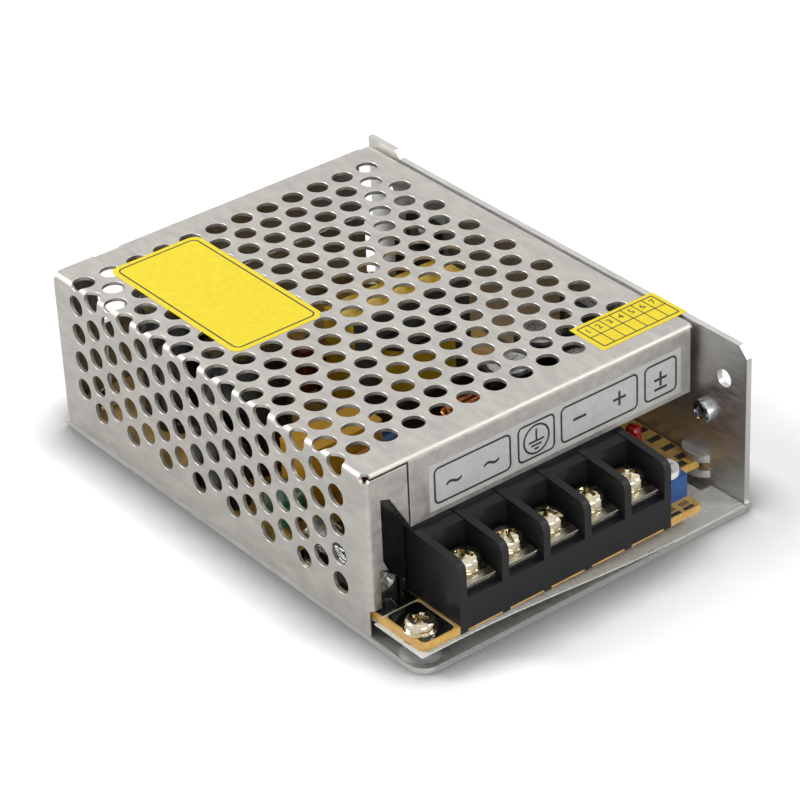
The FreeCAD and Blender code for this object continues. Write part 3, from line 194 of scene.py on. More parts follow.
# %% [markdown]
# ## Moulded plastics
#
# Moulded plastic takes on the surface of its steel mould, and most moulds have a fine spark grain. So one
# colour and a small relief are enough, and the roughness tells a matt moulding from a polished one. The
# indices of refraction are the typical ones, near 1.5.

# %% Moulded plastics
# The block is glass filled polyester: black, with a soft sheen on edges and hardly any on flats.
FINISHES["block_plastic"] = finish(
    "moulded_black_polyester", "#151517", "#222225", 0.25, (0.36, 0.52), 0.01, IOR=1.57,
    Specular_IOR_Level=0.25)
# The trimmer's body: an even blue with a satin face.
FINISHES["blue_plastic"] = finish(
    "moulded_blue_nylon", "#1B4684", "#2B5D9E", 0.3, (0.3, 0.45), 0.006, IOR=1.53)
# The trimmer's rotor: off white and a little softer.
FINISHES["white_plastic"] = finish(
    "moulded_white_nylon", "#E4E4DF", "#F4F4F0", 0.3, (0.35, 0.5), 0.005, IOR=1.53)
# The indicator is cast in a polished mould, so light enters it and one sharp spot stays on the dome.
FINISHES["red_lens"] = finish(
    "red_tinted_epoxy", "#A00808", "#C01210", 1.0, (0.06, 0.12), 0.002, IOR=1.5, Transmission_Weight=0.35)
# Bobbins are black phenolic: matt, with a brown cast.
FINISHES["black_phenolic"] = finish(
    "black_phenolic", "#151311", "#25221F", 0.4, (0.4, 0.55), 0.008, IOR=1.6)
print("finishes so far:", len(FINISHES))

# %% [markdown]
# ## Sheets, films and the board
#
# A sheet or a film has the gloss of the rolls that it was made between, with slow waves in place of grain.
# The board is pressed from paper and resin, so its colour follows the fibre. Only the milky film lets light
# through, which takes some transmission under its white.

# %% Sheets, films and the board
# A glossy black sheet: nearly a dark mirror, slightly wavy.
FINISHES["black_sheet"] = finish(
    "glossy_black_sheet", "#0B0B0C", "#171719", 3.0, (0.1, 0.2), 0.02, IOR=1.5)
# Milky polyester lets light through and scatters it, so the film is pale wherever it lies.
FINISHES["clear_film"] = finish(
    "milky_polyester_film", "#EEF2EE", "#FAFCFA", 4.0, (0.2, 0.34), 0.003, IOR=1.57, Transmission_Weight=0.4)
# Phenolic paper is golden brown, with the cloudy fibre of the paper in it.
FINISHES["board_laminate"] = finish(
    "phenolic_paper_board", "#BD9042", "#DEB464", 1.4, (0.34, 0.5), 0.008, (1, 2, 1), IOR=1.55)
# A silicone pad is grey and rubbery, with no gloss at all.
FINISHES["grey_silicone"] = finish(
    "grey_silicone_pad", "#8B8D8F", "#A4A6A8", 0.3, (0.55, 0.7), 0.01, IOR=1.41)
# A sleeve that was shrunk over a can: tight, dark and glossy.
FINISHES["black_sleeve"] = finish(
    "shrunk_black_sleeve", "#0E0F12", "#1D1F24", 2.5, (0.22, 0.34), 0.01, IOR=1.53)
print("finishes so far:", len(FINISHES))

# %% [markdown]
# ## Magnetics
#
# Ferrite is a fired black ceramic, a powder core is painted olive, and magnet wire is copper under a clear
# amber enamel. The enamel is a coat over a metal, so the wire uses both at once.

# %% Magnetics
# Ferrite: black and dull like stone, with a high index that still gives a faint shine.
FINISHES["ferrite"] = finish(
    "fired_ferrite", "#1D1D1E", "#333334", 0.4, (0.45, 0.65), 0.012, IOR=2.2)
# Transformer tape: the strongest yellow inside the case, smooth and wrapped tight.
FINISHES["winding_tape"] = finish(
    "yellow_polyester_tape", "#DDB41C", "#F0CB3A", 2.0, (0.2, 0.32), 0.02, IOR=1.57)
# Enamelled wire: an orange metal under a clear coat, with a bright line on every turn.
FINISHES["enamelled_copper"] = finish(
    "enamelled_copper", "#A8541C", "#CC7A34", 0.8, (0.16, 0.28), 0.003, Metallic=1.0, Coat_Weight=0.5)
# The powder core is painted, which hides its grain under an even olive.
FINISHES["iron_powder"] = finish(
    "olive_painted_powder", "#6C6A38", "#84823F", 0.5, (0.3, 0.48), 0.012, IOR=1.5)
print("finishes so far:", len(FINISHES))

# %% [markdown]
# ## Small parts under the cover
#
# Dipped capacitors are glossy epoxy with a slow wave from the dipping, moulded packages are matt, and a
# resistor is coated with lacquer or with cement. They are only seen through the holes, so a plain finish
# does for each, but they are what gives the holes their colour.

# %% Small parts
# The box capacitor: golden yellow resin, poured and satin.
FINISHES["yellow_box"] = finish(
    "yellow_box_resin", "#D49A1E", "#EDB632", 1.2, (0.3, 0.42), 0.006, IOR=1.52)
# Three dipped finishes: glossy drops of colour between the dark cans.
FINISHES["blue_epoxy"] = finish(
    "dipped_blue_epoxy", "#1D4F8C", "#2F69A8", 2.0, (0.12, 0.22), 0.03, IOR=1.55)
FINISHES["brown_epoxy"] = finish(
    "dipped_brown_epoxy", "#7A3A1E", "#94502C", 2.0, (0.14, 0.24), 0.03, IOR=1.55)
FINISHES["green_epoxy"] = finish(
    "dipped_green_epoxy", "#25583A", "#3A7450", 2.0, (0.2, 0.34), 0.03, IOR=1.55)
# Moulded packages: one black and one white, with a matt skin.
FINISHES["black_epoxy"] = finish(
    "moulded_black_epoxy", "#161617", "#262628", 0.2, (0.4, 0.55), 0.006, IOR=1.55)
FINISHES["white_epoxy"] = finish(
    "moulded_white_epoxy", "#D9D7CE", "#EBE9E2", 0.3, (0.38, 0.5), 0.006, IOR=1.55)
# The fuse's tube is clear glass, seen by its glints alone.
FINISHES["glass_tube"] = finish(
    "fuse_glass", "#E6EEEC", "#F6FAF9", 3.0, (0.02, 0.06), 0.002, IOR=1.5, Transmission_Weight=0.9)
# Resistors: a beige lacquer on the small ones and grey cement round the large ones.
FINISHES["resistor_lacquer"] = finish(
    "beige_resistor_lacquer", "#B99B6A", "#D3B98B", 1.2, (0.28, 0.42), 0.01, IOR=1.5)
FINISHES["grey_cement"] = finish(
    "grey_cement", "#9B9A94", "#B5B4AE", 0.3, (0.6, 0.8), 0.02, IOR=1.55)
print("finishes so far:", len(FINISHES))

# %% [markdown]
# ## Labels and inks
#
# The stickers are coated paper in a strong yellow, and the strip over the terminals is grey polyester.
# Their print is a thin layer of ink with an edge that one can feel, so it is built as a very low solid.

# %% Labels and inks
# Coated paper: the loudest colour of the part, with a faint satin.
FINISHES["yellow_label"] = finish(
    "yellow_coated_paper", "#F3D800", "#FCE61E", 1.5, (0.38, 0.5), 0.004, IOR=1.5)
# Polyester label stock: a light grey close to the metal behind it, but with no streaks.
FINISHES["grey_label"] = finish(
    "grey_polyester_label", "#B0AFAE", "#BDBCBA", 1.2, (0.34, 0.46), 0.004, IOR=1.57)
# Ink on a label is matt, and ink on a board is a little glossier.
LABEL_INK = finish("black_label_ink", "#1A1A1A", "#2C2C2B", 0.3, (0.4, 0.6), 0.002, IOR=1.5)
BOARD_INK = finish("black_board_ink", "#101010", "#1E1E1D", 0.3, (0.2, 0.35), 0.003, IOR=1.5)
# Cream ink is thick with white filler, which leaves it chalky.
PALE_INK = finish("cream_board_ink", "#CFC6AE", "#E6DFCB", 0.3, (0.4, 0.55), 0.003, IOR=1.5)
# Solder mask is a lacquer over copper: a black mirror round the board's screw.
SOLDER_MASK = finish("glossy_black_mask", "#0A0B0A", "#1A1C19", 2.0, (0.08, 0.16), 0.01, IOR=1.55)
print("finishes for the solids:", len(FINISHES))

# %% [markdown]
# ## Dress the solids
#
# The record of the part says which finish each solid has, so the list is read from there and isn't typed
# twice. Solids from a CAD program have perfectly sharp edges, and nothing real has. A bevel of a tenth of a
# millimetre catches a thin line of light. The weld comes first, since the file splits its points at edges.

# %% Dress the solids
# How wide the bevel is, in millimetres, on the solids that the camera sees best.
EDGES = {
    "terminal_block": 0.18, "trimmer_body": 0.15, "trimmer_rotor": 0.1, "circuit_board": 0.08,
    "terminal_contacts": 0.08, "insulation_barrier": 0.1, "x_capacitor": 0.3, "transformer_core": 0.2}
EDGES.update({f"wire_clamp_{i}": 0.12 for i in range(1, 6)})


def soften(thing, width):
    """Rounds the sharp edges of a piece by so many millimetres."""
    thing.modifiers.new("weld", "WELD").merge_threshold = 1e-6
    bevel = thing.modifiers.new("edge", "BEVEL")
    bevel.width = width * MM
    bevel.segments = 2
    bevel.limit_method = "ANGLE"
    bevel.angle_limit = math.radians(35)
    thing.modifiers.new("shade", "WEIGHTED_NORMAL").keep_sharp = True


for row in frame["record"]["subparts"]:
    node = frame["nodes"][row["node"]]
    node.data.materials.clear()
    node.data.materials.append(FINISHES[row["material_slot"]])
    if row["node"] in EDGES:
        soften(node, EDGES[row["node"]])
    # The clamps take a darker nickel, which paints the shade between the block's walls.
    if row["node"].startswith("wire_clamp"):
        node.data.materials[0] = SHADED_TUMBLED_NICKEL

# %% [markdown]
# ## A new piece
#
# Every new piece goes into the scene in the same way. Its faces are turned outwards, its smooth and sharp
# edges are told apart by their angle, and it is tied to the body that it moves with. Where it takes the
# place of a solid, that solid is hidden.

# %% Put a piece into the scene


def piece(name, mesh, material, body="case", stands_for=(), sharp=30):
    """Puts a finished mesh into the scene as one piece of the part."""
    if isinstance(mesh, bmesh.types.BMesh):
        bm = mesh
        bmesh.ops.recalc_face_normals(bm, faces=bm.faces)
        mesh = bpy.data.meshes.new(name)
        bm.to_mesh(mesh)
        bm.free()
    mesh.materials.clear()
    mesh.materials.append(material)
    mesh.polygons.foreach_set("use_smooth", [True] * len(mesh.polygons))
    mesh.set_sharp_from_angle(angle=math.radians(sharp))
    thing = bpy.data.objects.new(name, mesh)
    bpy.context.scene.collection.objects.link(thing)
    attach(thing, body)
    if stands_for:
        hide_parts(*stands_for)
    return thing


print("a piece rides on the case unless it is told another body")

# %% [markdown]
# ## Flat pieces
#
# Sheet, film, pads and print are all flat outlines with holes. Blender's 2D curve fills such an outline and
# gives it a thickness by itself, which is much less work than joining faces round every hole.

# %% Flat pieces


def made_solid(curve):
    """Turns a curve or a letter into a closed mesh."""
    thing = bpy.data.objects.new("outline", curve)
    bpy.context.scene.collection.objects.link(thing)
    graph = bpy.context.evaluated_depsgraph_get()
    mesh = bpy.data.meshes.new_from_object(thing.evaluated_get(graph))
    bpy.data.objects.remove(thing)
    bm = bmesh.new()
    bm.from_mesh(mesh)
    bmesh.ops.remove_doubles(bm, verts=bm.verts, dist=0.002)
    bpy.data.meshes.remove(mesh)
    return bm


def flat(outlines, thick, edge=0.0):
    """A flat sheet, filled between closed outlines, with its middle at height 0."""
    curve = bpy.data.curves.new("outline", "CURVE")
    curve.dimensions = "2D"
    curve.fill_mode = "BOTH"
    curve.extrude = thick / 2 - edge
    curve.bevel_depth = edge
    curve.bevel_resolution = 0
    curve.offset = -edge
    for outline in outlines:
        line = curve.splines.new("POLY")
        line.points.add(len(outline) - 1)
        line.use_cyclic_u = True
        for point, (x, y) in zip(line.points, outline):
            point.co = (x, y, 0, 1)
    return made_solid(curve)


def circle(x, y, radius, steps):
    """A round outline."""
    turns = [2 * math.pi * i / steps for i in range(steps)]
    return [(x + radius * math.cos(t), y + radius * math.sin(t)) for t in turns]


print("points of a hole:", len(circle(0, 0, 1, 28)))

# %% [markdown]
# ## Blocks
#
# A block is six faces between two corners, the plainest solid there is. It takes a place function, so that
# the same block can stand, lie or hang. Its lower face may be smaller, as on the tip of a punch.

# %% Blocks


def block(bm, place, low, high, taper=1.0):
    """A box between two corners, whose lower face may be smaller."""
    plan = ((low[0], low[1]), (high[0], low[1]), (high[0], high[1]), (low[0], high[1]))
    ends = ((low[2], taper), (high[2], 1.0))
    v = [bm.verts.new(place(a * s, b * s, h)) for h, s in ends for a, b in plan]
    for face in ((3, 2, 1, 0), (4, 5, 6, 7), (0, 1, 5, 4), (1, 2, 6, 5), (2, 3, 7, 6), (3, 0, 4, 7)):
        bm.faces.new([v[i] for i in face])


print("a block has 8 points and 6 faces")

# %% [markdown]
# ## The cover, punched flat and then folded
#
# A perforated cover is punched while the sheet is flat, and only then folded. The holes near a fold bend
# with it and come out slightly oval, which a drill could never do. The model is made in the same order.
# The flat pattern lies in u across and v along. The middle of the sheet keeps its length in a fold, so each
# fold takes a strip as wide as the quarter circle of its middle line.

# %% The cover's flat pattern
SHEET = 0.8
# The radius of a fold on its outer face and in the middle of the sheet.
OUTSIDE = 1.2
NEUTRAL = 0.8
FOLD = math.pi / 2 * NEUTRAL
# The cover's top, and its size between the folds.
TOP_Z = 34.5
WIDE = 74.3
LONG = 93.8
# The middle of a corner notch lies so far past the start of both folds.
NOTCH = 0.63


def down(z):
    """Where a height on a folded side lies in the flat pattern."""
    return -FOLD - (TOP_Z - OUTSIDE - z)


def inward(x):
    """Where a distance in from the left face lies on the folded front."""
    return -FOLD - (x - OUTSIDE)


def notch(mirrored):
    """The round notch of 1 mm radius that keeps the corner from tearing as it is folded."""
    turns = [math.radians(231.2 - 251.0 * i / 14) for i in range(15)]
    points = [(-NOTCH + math.cos(t), -NOTCH + math.sin(t)) for t in turns]
    return [(u, LONG - v) for u, v in reversed(points)] if mirrored else points


front = [
    (down(1.2), -0.5), (down(6.4), -0.5), (down(6.4), inward(2.6)), (down(14.4), inward(2.6)),
    (down(13.6), inward(4.4)), (down(16), inward(3.4)), (down(28.6), inward(3.4)),
    (down(27.9), inward(5.4)), (down(21), inward(9.4)), (-FOLD, inward(9.4))]
lip = [(8.6, -0.95), (8.6, down(20.2)), (WIDE, down(20.2)), (WIDE, -0.95)]
hem = [
    (WIDE + 0.95, -0.95), (WIDE + 0.95, 6.8), (WIDE + FOLD + 4.8, 6.8), (WIDE + FOLD + 4.8, 87.0),
    (WIDE + 0.95, 87.0), (WIDE + 0.95, LONG)]
rear = [
    (72.3, LONG), (72.3, LONG + FOLD + 13.1), (14.3, LONG + FOLD + 13.1), (14.3, LONG), (8.2, LONG),
    (8.2, LONG + 0.95)]
side = [(-FOLD, LONG + FOLD + 8.2), (down(1.2), LONG + FOLD + 8.2)]
OUTLINE = front + notch(False) + lip + hem + rear + notch(True) + side
print("outline points:", len(OUTLINE), "strip taken by one fold:", round(FOLD, 3), "mm")

# %% [markdown]
# The holes stand in rows that are shifted by half a pitch, as on every perforated sheet, so each hole has
# six neighbours. The rows run on down the left wall, and every second row has a hole right in the fold.

# %% Punch the holes
HOLE = 2.15
PITCH = 6.15
ROW_PITCH = PITCH * math.sin(math.radians(60))
# The rearmost row from the front, the first column from the left and the first row below the top.
REAR_ROW = 88.2
LEFT_HOLE = 2.3
SIDE_HOLE = 4.3
HOLES = []
for row in range(16):
    v = REAR_ROW - row * ROW_PITCH - OUTSIDE
    shift = PITCH / 2 if row % 2 else 0.0
    across = [LEFT_HOLE + k * PITCH - shift for k in range(12)]
    HOLES += [(x - OUTSIDE, v) for x in across if x > 0]
    HOLES += [(down(TOP_Z - SIDE_HOLE - shift - k * PITCH), v) for k in range(4)]
    if shift:
        HOLES.append((-FOLD, v))
sheet = flat([OUTLINE] + [circle(u, v, HOLE, 28) for u, v in HOLES], SHEET, 0.07)
print("holes:", len(HOLES), "faces of the flat sheet:", len(sheet.faces))

# %% [markdown]
# A fold is rounder the more lines the sheet has along it, so each fold's strip is first scored into six
# narrow ones. Then every point is wrapped round the fold's radius. The front and rear are folded before the
# sides, so that the flange at the corner follows both folds.

# %% Fold the sheet


def score(bm, place, normal):
    """Cuts a straight line of new points right across a sheet."""
    everything = bm.verts[:] + bm.edges[:] + bm.faces[:]
    bmesh.ops.bisect_plane(bm, geom=everything, dist=1e-4, plane_co=place, plane_no=normal)


for k in range(7):
    part = FOLD * k / 6
    score(sheet, (-part, 0, 0), (1, 0, 0))
    score(sheet, (WIDE + part, 0, 0), (1, 0, 0))
    score(sheet, (0, -part, 0), (0, 1, 0))
    score(sheet, (0, LONG + part, 0), (0, 1, 0))


def wrapped(past, depth):
    """How far along and how deep a point lies that is so far past the start of a fold."""
    if past <= 0:
        return past, depth
    if past < FOLD:
        turn = past / NEUTRAL
        return (OUTSIDE - depth) * math.sin(turn), OUTSIDE - (OUTSIDE - depth) * math.cos(turn)
    return OUTSIDE - depth, OUTSIDE + past - FOLD


for point in sheet.verts:
    u, v, depth = point.co.x, point.co.y, SHEET / 2 - point.co.z
    if v < LONG / 2:
        along, depth = wrapped(-v, depth)
        y = OUTSIDE - along
    else:
        along, depth = wrapped(v - LONG, depth)
        y = LONG + OUTSIDE + along
    if u < WIDE / 2:
        along, depth = wrapped(-u, depth)
        x = OUTSIDE - along
    else:
        along, depth = wrapped(u - WIDE, depth)
        x = WIDE + OUTSIDE + along
    point.co = at(x, y, TOP_Z - depth)
# Two feet are turned in under the left wall, where screws hold the cover to the plate.
for y in (24.0, 76.0):
    block(sheet, at, (0.4, y, 1.2), (7.0, y + 9.0, 2.0))
cover = piece("cover_folded", sheet, FINISHES["cover_steel"], stands_for=("cover",))
cover.modifiers.new("shade", "WEIGHTED_NORMAL").keep_sharp = True
print("cover faces:", len(cover.data.polygons))

# %% [markdown]
# ## How a screw is made
#
# A terminal screw has a domed pan head with a combined recess, one slot right across and a cross in the
# middle, so that either screwdriver fits. The head is turned on a lathe, which is a profile spun round an
# axis. A place function says where that axis stands and how far the screw has been turned.

# %% The lathe


def standing(x, y, z, angle=0.0):
    """A place with its axis up, turned by an angle in degrees."""
    c, s = math.cos(math.radians(angle)), math.sin(math.radians(angle))
    return lambda a, b, h: at(x + a * c - b * s, y + a * s + b * c, z + h)


def turned(bm, place, profile, steps=40):
    """Spins a profile of (radius, height) that starts and ends on the axis."""
    rings = []
    for radius, height in profile:
        count = steps if radius else 1
        turns = [2 * math.pi * i / steps for i in range(count)]
        rings.append([bm.verts.new(place(radius * math.cos(t), radius * math.sin(t), height)) for t in turns])
    for low, high in zip(rings, rings[1:]):
        for i in range(steps):
            j = (i + 1) % steps
            corners = [low[i % len(low)], low[j % len(low)], high[j % len(high)], high[i % len(high)]]
            bm.faces.new(list(dict.fromkeys(corners)))


print("a turned ring has 40 points")

# %% [markdown]
# The recess is pressed into the head with a punch of two crossed blades that narrow towards the tip. A
# boolean does here what the punch does, and the cutter is thrown away once the shape is out.

# %% The punch


def cross(bm, place, reach, half, low, high, taper=1.0):
    """Two crossed blocks, as the punch for a screwdriver's cross or for a score has."""
    for a, b in ((reach, half), (half, reach)):
        block(bm, place, (-a, -b, low), (a, b, high), taper)


def carve(thing, bm):
    """Takes a closed shape out of a piece for good."""
    bmesh.ops.recalc_face_normals(bm, faces=bm.faces)
    mesh = bpy.data.meshes.new("cutter")
    bm.to_mesh(mesh)
    bm.free()
    cutter = bpy.data.objects.new("cutter", mesh)
    bpy.context.scene.collection.objects.link(cutter)
    cut = thing.modifiers.new("punch", "BOOLEAN")
    cut.object = cutter
    cut.solver = "EXACT"
    cut.use_self = True
    graph = bpy.context.evaluated_depsgraph_get()
    made = bpy.data.meshes.new_from_object(thing.evaluated_get(graph))
    thing.modifiers.remove(cut)
    thing.data = made
    bpy.data.objects.remove(cutter)


print("a cross is two blocks")

# %% [markdown]
# The profile is drawn from the tip up: the core of the thread, the washer, the rim of the head and a flat
# dome. The thread is drawn as rings, since a helix of this pitch looks the same from outside. Two sizes of
# screw are needed, so one function draws both.

# %% A screw's profile
THREAD_PITCH = 0.6


def screw_profile(shank, length, washer, washer_sheet, head, height):
    """The outline of a pan head screw with its washer, from the tip to the top of the dome."""
    profile = [(0, -length), (shank * 0.75, -length)]
    for k in range(int(length / THREAD_PITCH)):
        low = -length + 0.15 + k * THREAD_PITCH
        profile += [(shank * 0.84, low), (shank, low + 0.25)]
    profile += [(shank * 0.84, -0.1), (shank * 0.84, 0.0)]
    profile += [(washer, 0.0), (washer, washer_sheet), (head, washer_sheet)]
    for k in range(6):
        turn = math.radians(18 * k)
        radius = head * (0.6 + 0.4 * math.cos(turn))
        profile.append((radius, washer_sheet + height * (0.5 + 0.38 * math.sin(turn))))
    return profile + [(head * 0.3, washer_sheet + height * 0.97), (0, washer_sheet + height)]


print("profile points:", len(screw_profile(1.69, 6.4, 3.2, 0.4, 3.0, 2.4)))

# %% [markdown]
# ## The screws that show
#
# Five screws stand in a row in the terminals. Each one rides on its own body, so that it turns and rises,
# and each stops at another angle, as screws do. They get a narrow bevel last, because the bright line on an
# edge is what tells the eye that a small thing is metal.

# %% Screws in the terminals
TERMINAL_FIRST = 10.4
TERMINAL_PITCH = 9.5
SCREW_EDGE = 0.07
HEAD_TOP = 2.8
for i, angle in enumerate((24, 71, 118, 8, 52), start=1):
    place = standing(TERMINAL_FIRST + (i - 0.5) * TERMINAL_PITCH, -7.7, 13.72, angle)
    bm = bmesh.new()
    turned(bm, place, screw_profile(1.69, 6.4, 3.2, 0.4, 3.0, 2.4))
    screw = piece(f"terminal_screw_turned_{i}", bm, FINISHES["nickel_steel"], f"screw_{i}",
                  (f"terminal_screw_{i}",))
    punch = bmesh.new()
    cross(punch, place, 2.05, 0.55, HEAD_TOP - 1.7, HEAD_TOP + 0.5, 0.5)
    block(punch, place, (-3.4, -0.45, HEAD_TOP - 0.75), (3.4, 0.45, HEAD_TOP + 0.5))
    carve(screw, punch)
    soften(screw, SCREW_EDGE)
print("terminal screws: 5, pitch:", TERMINAL_PITCH, "mm")

# %% [markdown]
# The board's three screws are smaller and have a cross alone. They are one node of the CAD model, so they
# stay one piece here. The screw in the right wall lies on its side. Its head is lower and rounder, and its
# zinc is bluish.

# %% Screws in the board and the wall
BOARD_TOP = 6.0
BOARD_SCREWS = ((4.2, -8.6), (4.6, 90.0), (71.5, 90.0))
bm = bmesh.new()
punch = bmesh.new()
for (x, y), angle in zip(BOARD_SCREWS, (35, 10, 60)):
    place = standing(x, y, BOARD_TOP, angle)
    turned(bm, place, screw_profile(1.44, 4.4, 3.2, 0.5, 2.75, 2.0))
    cross(punch, place, 1.8, 0.5, 0.9, 3.0, 0.5)
board_screws = piece(
    "board_screws_turned", bm, FINISHES["nickel_steel"], "case", ("pcb_screws",))
carve(board_screws, punch)
soften(board_screws, SCREW_EDGE)


def in_wall(a, b, h):
    """A place on the right wall's inner face, with its axis to the left."""
    return at(76.8 - h, -2.6 + a, 17.0 + b)


bm = bmesh.new()
turned(bm, in_wall, [
    (0, -1.2), (1.44, -1.2), (1.44, 0), (2.5, 0), (2.5, 0.8), (2.3, 1.2), (1.8, 1.5), (1.1, 1.65), (0, 1.7)])
wall_screw = piece("wall_screw_turned", bm, COOL_STEEL, "case", ("wall_screw",))
punch = bmesh.new()
cross(punch, in_wall, 1.5, 0.4, 0.6, 2.5, 0.5)
carve(wall_screw, punch)
soften(wall_screw, SCREW_EDGE)
print("screws in the board:", len(BOARD_SCREWS), "in the wall: 1")

# %% [markdown]
# ## Bosses under the board
#
# The board stands on bosses that are pressed up out of the chassis plate, so that they are wide at the foot
# and run smoothly into the plate. That is why none of them throws a hard edge in the gap under the board.
# They are turned like the screws, and only a wide angle counts as sharp, so that their flanks stay smooth.

# %% Bosses under the board
bm = bmesh.new()
for x, y in BOARD_SCREWS:
    turned(bm, standing(x, y, 0.0), [
        (0, 1.21), (4.1, 1.21), (3.6, 1.5), (3.25, 2.1), (3.0, 2.9), (2.85, 3.7), (2.8, 4.38), (0, 4.38)], 32)
# The bosses' darker colour is painted shade of the gap under the board.
piece("pressed_bosses", bm, SHADED_PRESSED_SHEET, "case", ("pcb_standoffs",), 50)
print("bosses:", len(BOARD_SCREWS))

# %% [markdown]
# ## The terminal block's skirt
#
# The terminal block's front wall hangs down over the edge of the board as a thin skirt, and a little lower at
# each barrier. Only a fine line of the golden edge shows between the feet, and that line draws the block's
# foot in the picture. Plain blocks are enough, since the skirt is flush with the block's own front.

# %% Skirt of the terminal block
BARRIER = 1.6
SKIRT_FRONT = -13.11
SKIRT_BACK = -12.95
SKIRT_LOW = 4.95
FOOT_LOW = 4.45
left = TERMINAL_FIRST - BARRIER / 2
bm = bmesh.new()
block(bm, at, (left, SKIRT_FRONT, SKIRT_LOW), (left + 5 * TERMINAL_PITCH + BARRIER, SKIRT_BACK, 6.5))
for k in range(6):
    x = left + k * TERMINAL_PITCH
    block(bm, at, (x, SKIRT_FRONT, FOOT_LOW), (x + BARRIER, SKIRT_BACK, SKIRT_LOW))
piece("block_skirt", bm, FINISHES["block_plastic"])
print("skirt from", round(left, 2), "mm, feet: 6")

# %% [markdown]
# ## The insulating film
#
# A milky polyester film keeps the board's pins off the metal. It is cut a little larger than the board, so a
# pale edge of it shows. It is held up at the left and sags to the right, nearly down to the plate. The film
# is cut flat with its holes and scored, and then each point is lowered by a cosine, as a soft sheet hangs.

# %% Cut and hang the film
FILM_MIDDLE = 4.2
SAG = 2.82
SAG_START = 8.0
SAG_END = 61.0
film_outline = [
    (0.45, -13.6), (76.4, -13.6), (76.4, -4.9), (73.8, -4.9), (73.8, 4.1), (76.4, 4.1), (76.4, 94.7),
    (1.1, 94.7), (1.1, -0.4), (0.45, -0.4)]
film = flat([film_outline] + [circle(x, y, 3.2, 24) for x, y in BOARD_SCREWS], 0.3)
for k in range(9):
    score(film, (SAG_START + (SAG_END - SAG_START) * k / 8, 0, 0), (1, 0, 0))
for point in film.verts:
    part = min(max((point.co.x - SAG_START) / (SAG_END - SAG_START), 0.0), 1.0)
    sunk = SAG * (1 - math.cos(math.pi * part)) / 2
    point.co = at(point.co.x, point.co.y, FILM_MIDDLE - sunk + point.co.z)
piece("hanging_film", film, FINISHES["clear_film"], "case", ("insulating_film",))
print("film sags by", SAG, "mm")

# %% [markdown]
# ## Wound rings
#
# A choke is enamelled wire threaded through a ring by hand, turn by turn. Each turn goes along the outside
# of the ring, over its edge and back through the middle, and moves on by a little more than its own width
# as measured at the inner side, where the turns touch. A curve with a round bevel is exactly a wire.

# %% Wind the rings


def winding(name, node, arcs, centre, outer, inner, thick, wire):
    """Winds one wire over each arc of a standing ring. An arc is its start, its sweep and its turns."""
    curve = bpy.data.curves.new(name, "CURVE")
    curve.dimensions = "3D"
    curve.bevel_depth = wire / 2 * MM
    curve.bevel_resolution = 1
    curve.use_fill_caps = True
    half, out, inn, bend = thick / 2 + wire / 2, outer + wire / 2, inner - wire / 2, wire * 0.45
    section = [
        (-half + bend, out), (half - bend, out), (half, out - bend), (half, inn + bend),
        (half - bend, inn), (-half + bend, inn), (-half, inn + bend), (-half, out - bend)]
    for start, sweep, turns in arcs:
        line = curve.splines.new("POLY")
        count = turns * len(section)
        line.points.add(count - 1)
        for k in range(count):
            across, radius = section[k % len(section)]
            turn = math.radians(start + sweep * (k + 0.5) / count)
            back, up = radius * math.sin(turn), radius * math.cos(turn)
            line.points[k].co = (*at(centre[0] + across, centre[1] + back, centre[2] + up), 1)
    thing = bpy.data.objects.new(name, curve)
    bpy.context.scene.collection.objects.link(thing)
    curve.materials.append(FINISHES["enamelled_copper"])
    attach(thing, "case")
    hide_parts(node)


winding("choke_wire", "choke_windings", ((-147, 130, 9), (17, 130, 9)), (17, 17, 15.3), 8.0, 4.6, 6.0, 0.95)
winding("inductor_wire", "inductor_winding", ((-165, 330, 21),), (40.5, 17.5, 15.7), 8.5, 4.6, 6.5, 1.05)
print("turns:", 9 + 9 + 21)

# %% [markdown]
# ## Electrolytic cans
#
# A can is drawn aluminium with a black sleeve shrunk over it. The sleeve ends in a rolled rim on top and
# leaves the metal bare inside, scored so that it opens safely. A groove near the foot holds the bung.

# %% Cans


def can(node, x, y, radius, height):
    """A sleeve and a scored metal top, in place of one plain can."""
    place = standing(x, y, BOARD_TOP, 20)
    rim = radius - 0.9
    sleeve = bmesh.new()
    turned(sleeve, place, [
        (0, 0), (radius - 0.3, 0), (radius - 0.05, 0.3), (radius - 0.05, 1.9), (radius - 0.45, 2.4),
        (radius - 0.05, 2.9), (radius, height - 0.9), (radius - 0.25, height - 0.3), (rim, height),
        (rim, height - 0.3), (0, height - 0.3)], 32)
    piece(node + "_sleeve", sleeve, FINISHES["black_sleeve"], "case", (node,))
    top = bmesh.new()
    turned(top, place, [
        (0, height - 0.5), (rim - 0.02, height - 0.5), (rim - 0.02, height - 0.12), (0, height - 0.08)], 32)
    metal = piece(node + "_top", top, CAN_TOP)
    punch = bmesh.new()
    cross(punch, place, rim * 0.8, 0.18, height - 0.25, height + 0.5)
    carve(metal, punch)


can("bulk_capacitor_1", 15.0, 55.0, 8.0, 25.0)
can("bulk_capacitor_2", 15.0, 76.0, 8.0, 25.0)
for i, (x, y) in enumerate(((51.5, 11.5), (62.5, 15.0), (51.5, 23.0), (63.0, 27.5)), start=1):
    can(f"output_capacitor_{i}", x, y, 5.0, 20.0)
can("supply_capacitor", 29.5, 79.8, 3.15, 11.0)
print("cans: 7")

# %% [markdown]
# ## Indicator and trimmer
#
# The indicator is cast in tinted epoxy with a half round top and a rim at the foot. It is turned like a
# screw. The trimmer beside it needs no new piece, since its solid already has the cross slot.

